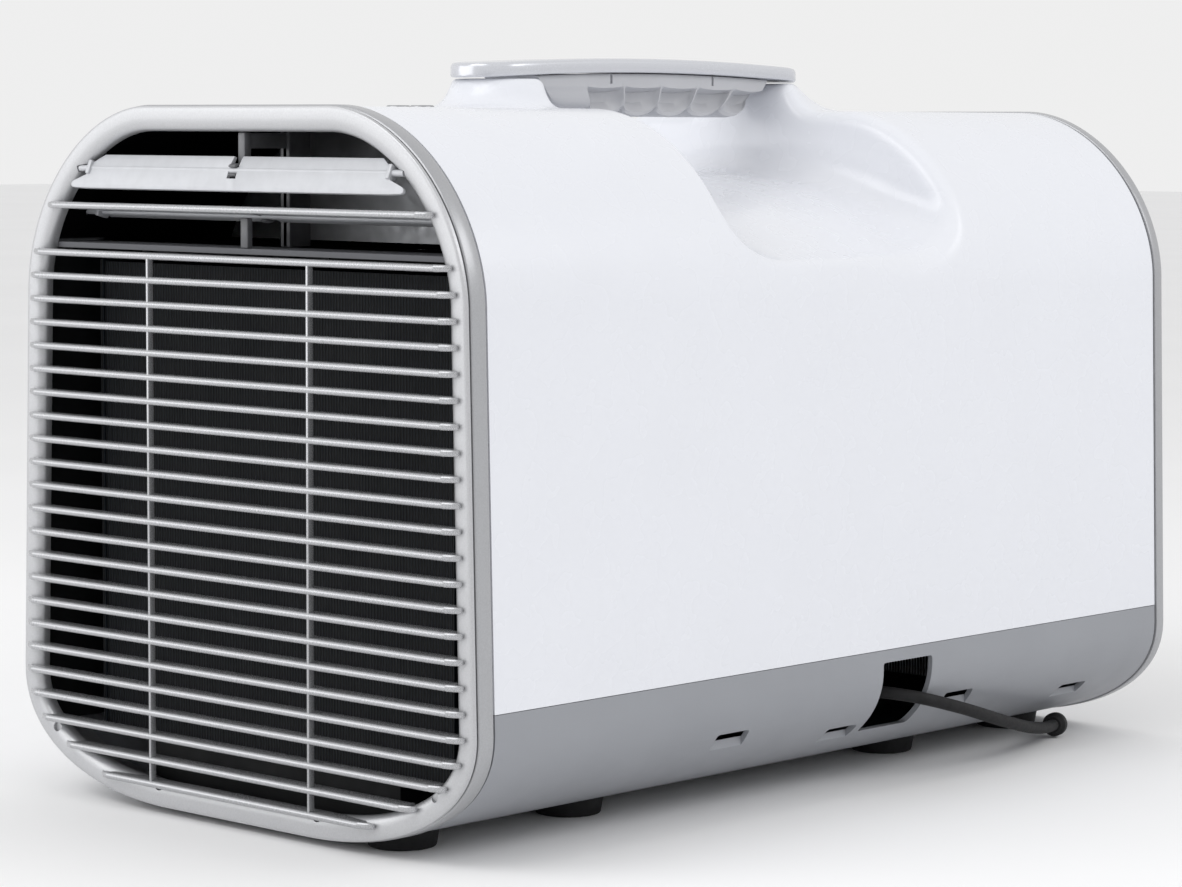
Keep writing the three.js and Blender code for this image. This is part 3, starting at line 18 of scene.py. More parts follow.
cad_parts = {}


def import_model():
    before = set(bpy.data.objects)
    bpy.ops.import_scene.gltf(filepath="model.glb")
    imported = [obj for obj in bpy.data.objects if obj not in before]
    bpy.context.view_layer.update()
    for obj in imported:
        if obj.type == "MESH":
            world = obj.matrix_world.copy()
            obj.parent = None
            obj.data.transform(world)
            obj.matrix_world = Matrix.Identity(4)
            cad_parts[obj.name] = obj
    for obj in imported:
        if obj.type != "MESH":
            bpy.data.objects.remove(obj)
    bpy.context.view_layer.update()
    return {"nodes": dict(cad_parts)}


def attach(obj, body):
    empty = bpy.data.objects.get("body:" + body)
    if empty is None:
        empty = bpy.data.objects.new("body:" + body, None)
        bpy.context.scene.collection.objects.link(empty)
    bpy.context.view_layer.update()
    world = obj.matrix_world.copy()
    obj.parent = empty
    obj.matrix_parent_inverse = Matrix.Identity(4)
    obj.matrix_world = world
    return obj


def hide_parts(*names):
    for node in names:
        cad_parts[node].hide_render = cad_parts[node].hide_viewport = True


log = logging.getLogger("air_conditioner")

MM = 0.001
FIT = 0.3
UNIT = "unit"

Point = tuple[float, float, float]
Flat = tuple[float, float]
Row = list[Point]


# ------------------------------------------------------------------ finishes


class Grain(Enum):
    """The small relief a finish has."""

    SKIN = "skin"  # the slight waviness of a moulded or painted surface
    SPARK = "spark"  # the even pits of a spark-eroded mould
    BRUSHED = "brushed"  # long scratches along Y
    FINS = "fins"  # upright fins side by side along X


@dataclass(frozen=True)
class Finish:
    """A surface finish: its colour, its gloss and its small relief.

    Lengths are in millimetres. mottle is how far the colour wanders, and
    gloss_swing how far the roughness does.
    """

    name: str
    colour: tuple[float, float, float]
    roughness: float
    metallic: float = 0.0
    coat: float = 0.0
    grain: Grain = Grain.SKIN
    grain_size: float = 1.4
    grain_depth: float = 0.004
    mottle: float = 0.03
    mottle_size: float = 45.0
    gloss_swing: float = 0.05
    specular: float = 0.5

    def material(self) -> bpy.types.Material:
        """Returns the finish as a material, which is made only once."""
        full_name = f"finish_{self.name}"
        known = bpy.data.materials.get(full_name)
        if known:
            return known
        made = bpy.data.materials.new(full_name)
        made.use_nodes = True
        made.diffuse_color = (*self.colour, 1.0)
        nodes, links = made.node_tree.nodes, made.node_tree.links
        shader = nodes["Principled BSDF"]
        shader.inputs["Metallic"].default_value = self.metallic
        shader.inputs["Coat Weight"].default_value = self.coat
        shader.inputs["Coat Roughness"].default_value = 0.08
        shader.inputs["Specular IOR Level"].default_value = self.specular
        place = nodes.new("ShaderNodeTexCoord").outputs["Object"]
        links.new(self._colour(nodes, links, place), shader.inputs["Base Color"])
        links.new(self._gloss(nodes, links, place), shader.inputs["Roughness"])
        links.new(self._relief(nodes, links, place), shader.inputs["Normal"])
        return made

    def _noise(self, nodes, links, place, size: float, detail: float = 2.0):
        """Returns a noise texture's value, with bumps of about size millimetres."""
        noise = nodes.new("ShaderNodeTexNoise")
        noise.inputs["Scale"].default_value = 1.0 / (size * MM)
        noise.inputs["Detail"].default_value = detail
        links.new(place, noise.inputs["Vector"])
        return noise.outputs["Fac"]

    def _colour(self, nodes, links, place):
        """Returns the colour, lighter and darker in soft patches."""
        ramp = nodes.new("ShaderNodeValToRGB")
        low, high = ramp.color_ramp.elements
        low.position, high.position = 0.3, 0.7
        low.color = (*(c * (1 - self.mottle) for c in self.colour), 1.0)
        high.color = (*(min(c * (1 + self.mottle), 1.0) for c in self.colour), 1.0)
        links.new(self._noise(nodes, links, place, self.mottle_size), ramp.inputs["Fac"])
        return ramp.outputs["Color"]

    def _gloss(self, nodes, links, place):
        """Returns the roughness, which swings a little round its middle."""
        swing = nodes.new("ShaderNodeMapRange")
        swing.inputs["From Min"].default_value = 0.3
        swing.inputs["From Max"].default_value = 0.7
        swing.inputs["To Min"].default_value = max(self.roughness - self.gloss_swing, 0.02)
        swing.inputs["To Max"].default_value = min(self.roughness + self.gloss_swing, 1.0)
        links.new(self._noise(nodes, links, place, self.mottle_size * 0.4), swing.inputs["Value"])
        return swing.outputs["Result"]

    def _relief(self, nodes, links, place):
        """Returns the normal that the grain gives."""
        bump = nodes.new("ShaderNodeBump")
        bump.inputs["Strength"].default_value = 1.0
        bump.inputs["Distance"].default_value = self.grain_depth * MM
        if self.grain is Grain.SPARK:
            cells = nodes.new("ShaderNodeTexVoronoi")
            cells.inputs["Scale"].default_value = 1.0 / (self.grain_size * MM)
            links.new(place, cells.inputs["Vector"])
            height = cells.outputs["Distance"]
        elif self.grain is Grain.FINS:
            wave = nodes.new("ShaderNodeTexWave")
            wave.bands_direction = "X"
            wave.inputs["Scale"].default_value = math.pi / (10 * self.grain_size * MM)
            wave.inputs["Distortion"].default_value = 0.0
            links.new(place, wave.inputs["Vector"])
            height = wave.outputs["Fac"]
        elif self.grain is Grain.BRUSHED:
            stretch = nodes.new("ShaderNodeMapping")
            stretch.inputs["Scale"].default_value = (1.0, 0.03, 1.0)
            links.new(place, stretch.inputs["Vector"])
            height = self._noise(nodes, links, stretch.outputs["Vector"], self.grain_size, 4.0)
        else:
            height = self._noise(nodes, links, place, self.grain_size)
        links.new(height, bump.inputs["Height"])
        return bump.outputs["Normal"]


@dataclass(frozen=True)
class StripedFinish(Finish):
    """A finned surface whose colour follows its fins as well as its relief, with painted shade in the
    gaps between the fins.
    """

    # painted shade in the gaps between the fins
    gap_shade_colour: tuple[float, float, float] = (0.003, 0.004, 0.006)

    def _colour(self, nodes, links, place):
        """Returns the fins' colour on their edges, with painted shade in the gaps between them."""
        wave = nodes.new("ShaderNodeTexWave")
        wave.bands_direction = "X"
        wave.inputs["Scale"].default_value = math.pi / (10 * self.grain_size * MM)
        wave.inputs["Distortion"].default_value = 0.0
        links.new(place, wave.inputs["Vector"])
        ramp = nodes.new("ShaderNodeValToRGB")
        low, high = ramp.color_ramp.elements
        low.position, high.position = 0.35, 0.8
        low.color, high.color = (*self.gap_shade_colour, 1.0), (*self.colour, 1.0)
        links.new(wave.outputs["Fac"], ramp.inputs["Fac"])
        return ramp.outputs["Color"]


@dataclass(frozen=True)
class DuctFinish(Finish):
    """A duct in its own plastic colour on its low front lip, with painted shade deeper inside and higher
    up.
    """

    # painted shade: the colour of the duct's shaded inside
    dark: tuple[float, float, float] = (0.003, 0.003, 0.0035)
    lip_top: float = 256.6
    lip_back: float = -219.0

    def _colour(self, nodes, links, place):
        """Returns the plastic's colour low down near the mouth, and painted shade deep inside and high
        up.
        """
        split = nodes.new("ShaderNodeSeparateXYZ")
        links.new(place, split.inputs["Vector"])
        high = nodes.new("ShaderNodeMapRange")
        high.inputs["From Min"].default_value = self.lip_top * MM
        high.inputs["From Max"].default_value = (self.lip_top + 1.0) * MM
        links.new(split.outputs["Z"], high.inputs["Value"])
        deep = nodes.new("ShaderNodeMapRange")
        deep.inputs["From Min"].default_value = self.lip_back * MM
        deep.inputs["From Max"].default_value = (self.lip_back + 6.0) * MM
        links.new(split.outputs["Y"], deep.inputs["Value"])
        # the mask is 1 where painted shade goes, high up or deep inside
        shade_mask = nodes.new("ShaderNodeMath")
        shade_mask.operation = "MAXIMUM"
        links.new(high.outputs["Result"], shade_mask.inputs[0])
        links.new(deep.outputs["Result"], shade_mask.inputs[1])
        ramp = nodes.new("ShaderNodeValToRGB")
        low, far = ramp.color_ramp.elements
        low.color, far.color = (*self.colour, 1.0), (*self.dark, 1.0)
        links.new(shade_mask.outputs["Value"], ramp.inputs["Fac"])
        return ramp.outputs["Color"]


WHITE = Finish("white_casing", (0.755, 0.77, 0.815), 0.27, coat=0.12, mottle=0.006,
               grain_size=1.6, grain_depth=0.0015, gloss_swing=0.03)
SILVER = Finish("silver_paint", (0.40, 0.405, 0.42), 0.33, metallic=0.5, coat=0.1,
                mottle=0.05, mottle_size=0.7, grain_size=0.5, grain_depth=0.003)
# The silver paint again, made lighter for the panel rim: painted light for the stronger light on its
# front face.
LIT_RIM_SILVER = Finish("lit_rim_paint", (0.49, 0.495, 0.51), 0.36, metallic=0.5, coat=0.1,
                    mottle=0.05, mottle_size=0.7, grain_size=0.5, grain_depth=0.003)
SLAT_SILVER = Finish("slat_paint", (0.42, 0.425, 0.44), 0.26, metallic=0.55, coat=0.2,
                     mottle=0.05, mottle_size=0.7, grain_size=0.5, grain_depth=0.003)
GREY = Finish("grey_base", (0.285, 0.295, 0.32), 0.42, grain=Grain.SPARK, grain_size=0.7,
              grain_depth=0.01, mottle=0.02)
CAP_SILVER = Finish("cap_paint", (0.60, 0.61, 0.645), 0.24, metallic=0.35, coat=0.25,
                    mottle=0.03, mottle_size=0.6, grain_size=1.8, grain_depth=0.003)
GRIP_GREY = Finish("grip_plastic", (0.49, 0.495, 0.52), 0.45, grain=Grain.SPARK,
                   grain_size=0.6, grain_depth=0.008)
BLADE_SILVER = Finish("louvre_plastic", (0.50, 0.51, 0.535), 0.4, metallic=0.15,
                      mottle=0.03, mottle_size=6.0)
RUBBER = Finish("rubber", (0.010, 0.010, 0.011), 0.7, grain_size=0.8, grain_depth=0.02,
                mottle=0.25, mottle_size=6.0, specular=0.3)
DARK = Finish("dark_plastic", (0.008, 0.0085, 0.0095), 0.55, grain=Grain.SPARK,
              grain_size=0.7, grain_depth=0.012, mottle=0.1, mottle_size=20.0, specular=0.2)
RIB_DARK = Finish("rib_plastic", (0.12, 0.122, 0.13), 0.35, mottle=0.1, mottle_size=4.0)
PANEL_DARK = Finish("panel_plastic", (0.022, 0.023, 0.026), 0.3, grain=Grain.SPARK,
                    grain_size=0.5, grain_depth=0.006)
GLOSS_BLACK = Finish("gloss_black", (0.004, 0.004, 0.005), 0.08, coat=0.5, mottle=0.1,
                     gloss_swing=0.02, grain_depth=0.001)
# The evaporator's fins: a faint blue tint of their coating, darkened almost to black as painted shade
# deep inside the intake.
SHADED_BLUE_FINS = StripedFinish("coated_fins", (0.008, 0.012, 0.017), 0.5, grain=Grain.FINS,
                          grain_size=1.8, grain_depth=0.5, specular=0.25,
                          gap_shade_colour=(0.002, 0.0025, 0.003))
BARE_FINS = StripedFinish("bare_fins", (0.55, 0.56, 0.58), 0.35, metallic=0.9,
                          grain=Grain.FINS, grain_size=1.8, grain_depth=0.5,
                          gap_shade_colour=(0.03, 0.03, 0.032))
# The duct's own light lip colour; its inside gets painted shade.
DUCT = DuctFinish("duct_plastic", (0.17, 0.173, 0.185), 0.8, specular=0.0)
COPPER = Finish("copper_tube", (0.62, 0.25, 0.12), 0.3, metallic=1.0, grain=Grain.BRUSHED,
                grain_size=0.5, mottle=0.15, mottle_size=14.0, gloss_swing=0.1)
STEEL = Finish("zinc_sheet", (0.45, 0.46, 0.48), 0.38, metallic=0.9, grain=Grain.BRUSHED,
               grain_size=0.6, mottle=0.12, mottle_size=12.0, gloss_swing=0.08)
BLACK_STEEL = Finish("black_paint", (0.011, 0.011, 0.012), 0.34, coat=0.2, mottle=0.15,
                     grain_size=2.2, grain_depth=0.02)
BOARD = Finish("solder_mask", (0.02, 0.11, 0.045), 0.35, coat=0.3, mottle=0.35,
               mottle_size=2.5, grain_size=0.9, grain_depth=0.05)


# ------------------------------------------------------------------ mesh making


def new_bmesh() -> bmesh.types.BMesh:
    """Returns an empty bmesh whose vertices remember their place in a row."""
    bm = bmesh.new()
    bm.verts.layers.int.new("place")
    return bm


def first_row(bm: bmesh.types.BMesh, row: Row, closed: bool) -> list[bmesh.types.BMEdge]:
    """Starts a shape from one row of points joined by edges."""
    layer = bm.verts.layers.int["place"]
    verts = []
    for index, point in enumerate(row):
        vert = bm.verts.new(point)
        vert[layer] = index
        verts.append(vert)
    pairs = list(zip(verts, verts[1:]))
    if closed:
        pairs.append((verts[-1], verts[0]))
    return [bm.edges.new(pair) for pair in pairs]


def next_row(bm: bmesh.types.BMesh, edges: list[bmesh.types.BMEdge],
             row: Row) -> list[bmesh.types.BMEdge]:
    """Extrudes a row of edges, and moves the new row onto new points.

    Args:
        bm: The shape that grows.
        edges: The row to extrude.
        row: The new row's points, in the order of the first row.

    Returns:
        The new row's edges.
    """
    layer = bm.verts.layers.int["place"]
    grown = bmesh.ops.extrude_edge_only(bm, edges=edges)["geom"]
    fresh = {part for part in grown if isinstance(part, bmesh.types.BMVert)}
    for vert in fresh:
        vert.co = row[vert[layer]]
    return [part for part in grown
            if isinstance(part, bmesh.types.BMEdge) and set(part.verts) <= fresh]


def loft(rows: Sequence[Row], closed: bool = True, cyclic: bool = False,
         caps: bool = False) -> bmesh.types.BMesh:
    """Skins a sequence of rows.

    Args:
        rows: Rows of points, all of one length.
        closed: Each row is a loop.
        cyclic: The last row joins the first one again.
        caps: The first and last loops are closed with a face.

    Returns:
        The skin as a bmesh.
    """
    bm = new_bmesh()
    start = edges = first_row(bm, rows[0], closed)
    for row in rows[1:]:
        edges = next_row(bm, edges, row)
    if cyclic:
        next_row(bm, edges, rows[0])
        bmesh.ops.remove_doubles(bm, verts=bm.verts, dist=1e-3)
    if caps:
        bmesh.ops.contextual_create(bm, geom=start)
        bmesh.ops.contextual_create(bm, geom=edges)
    return bm


def prism(outline: Sequence[Flat], low: float, high: float, axis: str) -> bmesh.types.BMesh:
    """A straight prism of a flat outline along one axis.

    Args:
        outline: The outline, as (x, z) for axis y, (y, z) for x and (x, y) for z.
        low: Where the prism starts along the axis.
        high: Where it ends.
        axis: x, y or z.

    Returns:
        The closed prism.
    """
    def lay(u: float, v: float, w: float) -> Point:
        """Places outline point (u, v) at w along the axis."""
        return {"x": (w, u, v), "y": (u, w, v), "z": (u, v, w)}[axis]

    return loft([[lay(u, v, w) for u, v in outline] for w in (low, high)], caps=True)


def turned(profile: Sequence[Flat], steps: int = 40) -> bmesh.types.BMesh:
    """A body of revolution about Z, from (radius, height) pairs that start and end on the axis."""
    bm = new_bmesh()
    edges = first_row(bm, [(r, 0.0, z) for r, z in profile], closed=False)
    bmesh.ops.spin(bm, geom=[*bm.verts, *edges], axis=(0, 0, 1), cent=(0, 0, 0),
                   angle=2 * math.pi, steps=steps, use_merge=True)
    bmesh.ops.remove_doubles(bm, verts=bm.verts, dist=1e-3)
    return bm


def box(low: Point, high: Point) -> bmesh.types.BMesh:
    """A box between two corners."""
    bm = new_bmesh()
    size = [b - a for a, b in zip(low, high)]
    middle = [(a + b) / 2 for a, b in zip(low, high)]
    bmesh.ops.create_cube(bm, size=1.0, matrix=Matrix.Translation(middle) @ Matrix.Diagonal((*size, 1.0)))
    return bm


def soften(bm: bmesh.types.BMesh, width: float, segments: int = 2,
           least_angle: float = 30.0) -> bmesh.types.BMesh:
    """Rounds the edges of a shape that are sharper than an angle."""
    bmesh.ops.recalc_face_normals(bm, faces=bm.faces)
    sharp = [e for e in bm.edges if e.is_manifold and e.calc_face_angle(0.0) > math.radians(least_angle)]
    bmesh.ops.bevel(bm, geom=sharp, offset=width, offset_type="OFFSET", segments=segments,
                    profile=0.5, affect="EDGES", clamp_overlap=True, material=-1)
    return bm


def moved(bm: bmesh.types.BMesh, matrix: Matrix) -> bmesh.types.BMesh:
    """Transforms a whole shape."""
    bmesh.ops.transform(bm, matrix=matrix, verts=bm.verts)
    return bm


def together(parts: Iterable[bmesh.types.BMesh]) -> bmesh.types.BMesh:
    """Joins several shapes into one bmesh, and frees them."""
    whole = new_bmesh()
    for part in parts:
        holder = bpy.data.meshes.new("part")
        part.to_mesh(holder)
        part.free()
        whole.from_mesh(holder)
        bpy.data.meshes.remove(holder)
    return whole


def round_rect(cx: float, cy: float, width: float, height: float, radius: float,
               steps: int = 6) -> list[Flat]:
    """The outline of a rectangle with round corners."""
    points = []
    for sx, sy, start in ((1, -1, -90), (1, 1, 0), (-1, 1, 90), (-1, -1, 180)):
        for step in range(steps + 1):
            angle = math.radians(start + 90 * step / steps)
            points.append((cx + sx * (width / 2 - radius) + radius * math.cos(angle),
                           cy + sy * (height / 2 - radius) + radius * math.sin(angle)))
    return points


def circle(cx: float, cy: float, radius: float, steps: int = 32) -> list[Flat]:
    """The outline of a circle."""
    turns = [2 * math.pi * step / steps for step in range(steps)]
    return [(cx + radius * math.cos(t), cy + radius * math.sin(t)) for t in turns]


def to_object(name: str, bm: bmesh.types.BMesh, smooth: float = 32.0) -> bpy.types.Object:
    """Turns a shape in millimetres into an object in metres.

    Args:
        name: The object's name.
        bm: The shape, which is freed.
        smooth: Edges flatter than this many degrees are shaded smooth.

    Returns:
        The object, at the origin.
    """
    bmesh.ops.scale(bm, vec=(MM, MM, MM), verts=bm.verts)
    bmesh.ops.recalc_face_normals(bm, faces=bm.faces)
    mesh = bpy.data.meshes.new(name)
    bm.to_mesh(mesh)
    bm.free()
    mesh.shade_smooth()
    mesh.set_sharp_from_angle(angle=math.radians(smooth))
    made = bpy.data.objects.new(name, mesh)
    bpy.context.scene.collection.objects.link(made)
    return made


def carve(target: bpy.types.Object, tools: Sequence[bmesh.types.BMesh],
          smooth: float = 32.0) -> bpy.types.Object:
    """Cuts shapes out of an object for good."""
    cutter = to_object("cutter", together(tools))
    knife = target.modifiers.new("cut", "BOOLEAN")
    knife.operation, knife.solver, knife.object = "DIFFERENCE", "EXACT", cutter
    return settle(target, smooth, cutter)


def settle(target: bpy.types.Object, smooth: float = 32.0,
           spare: bpy.types.Object | None = None) -> bpy.types.Object:
    """Makes an object's modifiers part of its mesh, and removes a helper object."""
    graph = bpy.context.evaluated_depsgraph_get()
    mesh = bpy.data.meshes.new_from_object(target.evaluated_get(graph))
    old = target.data
    target.modifiers.clear()
    target.data = mesh
    mesh.name = target.name
    bpy.data.meshes.remove(old)
    if spare:
        bpy.data.objects.remove(spare)
    mesh.shade_smooth()
    mesh.set_sharp_from_angle(angle=math.radians(smooth))
    return target


def thicken(target: bpy.types.Object, wall: float) -> bpy.types.Object:
    """Gives an open skin a wall that grows inwards."""
    shell = target.modifiers.new("wall", "SOLIDIFY")
    shell.thickness, shell.offset, shell.use_even_offset = wall * MM, -1.0, False
    return target


def place_piece(made: bpy.types.Object, finish: Finish, body: str = UNIT,
                replaces: Sequence[str] = ()) -> bpy.types.Object:
    """Dresses a piece and hands it to the frame.

    Args:
        made: The piece's object.
        finish: What it is made of.
        body: The body that it rides on.
        replaces: CAD nodes that it stands for.

    Returns:
        The piece.
    """
    made.data.materials.clear()
    made.data.materials.append(finish.material())
    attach(made, body)
    if replaces:
        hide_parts(*replaces)
    log.info("%s on %s", made.name, body)
    return made


# ------------------------------------------------------------------ body section


@dataclass(frozen=True)
class Section:
    """The loaf-shaped section of the body, seen along Y."""

    half: float = 149.0
    bottom: float = 3.0
    top: float = 318.5
    draft: float = 5.0
    low_width: float = 104.0
    low_height: float = 55.0
    low_power: float = 2.15
    high_width: float = 84.0
    high_height: float = 84.5
    high_power: float = 1.85

    @property
    def low_z(self) -> float:
        """Height of the lower corners' centres."""
        return self.bottom + self.low_height

    @property
    def high_z(self) -> float:
        """Height of the upper corners' centres."""
        return self.top - self.high_height

    @property
    def low_x(self) -> float:
        """Half the width of the flat underside."""
        return self.half - self.low_width

    @property
    def high_x(self) -> float:
        """Half the width of the flat deck."""
        return self.half - self.draft - self.high_width

    def half_width(self, z: float, inset: float) -> float:
        """Half the section's width at a height, shrunk by an inset."""
        if z > self.high_z:
            rise = min((z - self.high_z) / (self.high_height - inset), 1.0)
            reach = (1 - rise ** self.high_power) ** (1 / self.high_power)
            return self.high_x + (self.high_width - inset) * reach
        if z < self.low_z:
            fall = min((self.low_z - z) / (self.low_height - inset), 1.0)
            reach = (1 - fall ** self.low_power) ** (1 / self.low_power)
            return self.low_x + (self.low_width - inset) * reach
        return self.half - inset - self.draft * (z - self.low_z) / (self.high_z - self.low_z)

    def high_corner(self, inset: float, steps: int) -> list[Flat]:
        """The right upper corner, from the side up to the deck."""
        points = []
        for step in range(steps + 1):
            angle = math.pi / 2 * (1 - step / steps)
            bend = 2 / self.high_power
            x = self.high_x + (self.high_width - inset) * math.sin(angle) ** bend
            z = self.high_z + (self.high_height - inset) * max(math.cos(angle), 0.0) ** bend
            points.append((x, z))
        return points

    def low_corner(self, inset: float, steps: int) -> list[Flat]:
        """The right lower corner, from the underside up to the side."""
        points = []
        for step in range(steps + 1):
            angle = math.pi / 2 * step / steps
            bend = 2 / self.low_power
            x = self.low_x + (self.low_width - inset) * math.sin(angle) ** bend
            z = self.low_z - (self.low_height - inset) * max(math.cos(angle), 0.0) ** bend
            points.append((x, z))
        return points

    def outline(self, inset: float, steps: int = 40) -> list[Flat]:
        """The whole section as a loop."""
        right = [*self.low_corner(inset, steps), *self.high_corner(inset, steps)]
        return [*right, *((-x, z) for x, z in reversed(right))]


SECTION = Section()


def ring_rows(profile: Sequence[Flat], steps: int = 44) -> list[Row]:
    """Rows that sweep a profile of (inset, y) pairs round the body's section."""
    return [[(x, y, z) for x, z in SECTION.outline(inset, steps)] for inset, y in profile]


# ------------------------------------------------------------------ casing


def soft_max(a: np.ndarray, b: np.ndarray, blend: np.ndarray | float) -> np.ndarray:
    """The larger of two distances, with the change between them rounded over blend."""
    share = np.maximum(blend - np.abs(a - b), 0.0) / np.maximum(blend, 1e-6)
    return np.maximum(a, b) + share * share * blend * 0.25


def soft_min(a: np.ndarray, b: np.ndarray, blend: float) -> np.ndarray:
    """The smaller of two distances, with the change between them rounded over blend."""
    return -soft_max(-a, -b, blend)


@dataclass
class Casing:
    """The white upper casing with its hand scoop and pedestals, and the grey base."""

    front: float = -235.3
    rear: float = 245.1
    inset: float = 0.7
    wall: float = 2.6
    split: float = 67.0
    scoop_centre: float = 7.0
    scoop_half: float = 84.0
    scoop_radius: float = 38.0
    scoop_edge: float = 243.0
    scoop_crest: float = 287.0
    scoop_draft: float = 0.06
    floor_blend: float = 20.0
    front_edge: float = 2.6
    rear_edge: float = 9.0
    pedestal_top: float = 331.6
    pedestal_blend: float = 9.0
    panel_centre: float = -176.0
    panel_size: Flat = (112.0, 46.0)
    port: tuple[float, float, float, float] = (22.5, 59.5, 27.0, 61.0)
    notches: tuple[Flat, ...] = ((-79.0, 35.5), (87.0, 35.5), (6.0, 27.0), (190.0, 27.0))

    def build(self) -> None:
        """Makes the casing and the base."""
        self._casing()
        self._base()

    def _body_distance(self, x: np.ndarray, z: np.ndarray) -> np.ndarray:
        """How far points stand out of the plain loaf's top."""
        s = SECTION
        across = np.maximum(x - s.high_x, 0.0) / (s.high_width - self.inset)
        up = np.maximum(z - s.high_z, 0.0) / (s.high_height - self.inset)
        reach = (across ** s.high_power + up ** s.high_power) ** (1 / s.high_power)
        return (reach - 1.0) * (s.high_height - self.inset)

    def _pedestal_distance(self, x: np.ndarray, y: np.ndarray, z: np.ndarray,
                           centre: float, flare: float, stretch: float) -> np.ndarray:
        """How far points stand out of one of the pedestals that carry the handle."""
        drop = np.maximum(self.pedestal_top - z, 0.0)
        along = (y - centre) / (1.0 + stretch * drop)
        cone = (np.hypot(x, along) - (26.0 + flare * drop)) * 0.9
        return soft_max(cone, z - self.pedestal_top, 2.0)

    def _scoop_distance(self, x: np.ndarray, y: np.ndarray, z: np.ndarray) -> np.ndarray:
        """How far points lie outside the hand scoop."""
        centre_z = self.scoop_edge + self.scoop_radius
        reach = np.abs(y - self.scoop_centre) - self.scoop_half
        reach = reach - self.scoop_draft * np.maximum(z - centre_z, 0.0) + self.scoop_radius
        depth = centre_z - z
        side = (np.minimum(np.maximum(reach, depth), 0.0)
                + np.hypot(np.maximum(reach, 0.0), np.maximum(depth, 0.0)) - self.scoop_radius)
        edge = SECTION.half - SECTION.draft
        rise = self.scoop_crest - self.scoop_edge
        share = np.minimum(x / edge, 1.0)
        saddle = self.scoop_crest - rise * share ** 2 - z
        slope = 2 * rise * share / edge
        return soft_max(side, saddle / np.sqrt(1 + slope * slope), self.floor_blend)

    def _heights(self, x: np.ndarray, y: np.ndarray) -> np.ndarray:
        """The height of the casing's top over points (x, y), by halving."""
        x = np.abs(x)
        low, high = np.full(x.shape, 200.0), np.full(x.shape, 345.0)
        rear_share = np.clip((y - self.scoop_centre) / 40.0, 0.0, 1.0)
        edge = self.front_edge + (self.rear_edge - self.front_edge) * rear_share
        for _ in range(22):
            z = (low + high) / 2
            solid = self._body_distance(x, z)
            for centre, flare, stretch in ((-77.0, 0.36, 0.0), (91.0, 0.62, 0.03)):
                solid = soft_min(solid, self._pedestal_distance(x, y, z, centre, flare, stretch),
                                 self.pedestal_blend)
            outside = soft_max(solid, -self._scoop_distance(x, y, z), edge) > 0
            high = np.where(outside, z, high)
            low = np.where(outside, low, z)
        return (low + high) / 2

    def _columns(self) -> list[Flat]:
        """The casing's section from the right split line over the top to the left one."""
        low = self.split + FIT / 2
        count = 10
        side = [low + (SECTION.high_z - low) * i / count for i in range(count)]
        right = [(SECTION.half_width(z, self.inset), z) for z in side]
        right += SECTION.high_corner(self.inset, 58)
        flat = 30
        right += [(SECTION.high_x * (1 - i / flat), self._deck()) for i in range(1, flat)]
        return [*right, (0.0, self._deck()), *((-x, z) for x, z in reversed(right))]

    def _deck(self) -> float:
        """Height of the flat deck."""
        return SECTION.top - self.inset

    def _stations(self) -> list[float]:
        """Places along Y of the casing's rows, close together where it curves."""
        c, half, radius = self.scoop_centre, self.scoop_half, self.scoop_radius
        near = {0.0}
        near |= {(half - radius) * i / 18 for i in range(1, 19)}
        near |= {half - radius + radius * math.sin(math.pi / 2 * i / 24) for i in range(1, 25)}
        near |= {half + 0.45 * i for i in range(1, 10)}
        near |= {half + 4.5 + 1.6 * i for i in range(1, 20)}
        both = {round(c + side * n, 3) for n in near for side in (-1, 1)}
        far = {self.front, self.front + 1.0, -215.0, -190.0, -165.0, -140.0, -125.0,
               130.0, 137.0, 146.0, 160.0, 185.0, 210.0, 230.0, self.rear - 1.0, self.rear}
        return sorted(both | far)

    def _casing(self) -> None:
        """Makes the upper casing from the front to the rear."""
        columns = self._columns()
        xs, zs = (np.array(v) for v in zip(*columns))
        reach = SECTION.high_x + SECTION.high_width - self.inset - 0.05
        free = (zs >= SECTION.high_z) & (np.abs(xs) < reach)
        rows = []
        for y in self._stations():
            heights = self._heights(xs, np.full(xs.shape, y))
            top = np.where(free, np.where(np.abs(heights - zs) < 0.02, zs, heights), zs)
            rows.append([(float(x), y, float(z)) for x, z in zip(xs, top)])
        made = to_object("casing_shell", loft(rows, closed=False), smooth=60.0)
        settle(thicken(made, self.wall), smooth=60.0)
        width, length = self.panel_size
        recess = prism(round_rect(0, self.panel_centre, width, length, 8), self._deck() - 8,
                       self._deck() + 8, "z")
        carve(made, [recess], smooth=60.0)
        place_piece(made, WHITE, replaces=["upper_casing"])

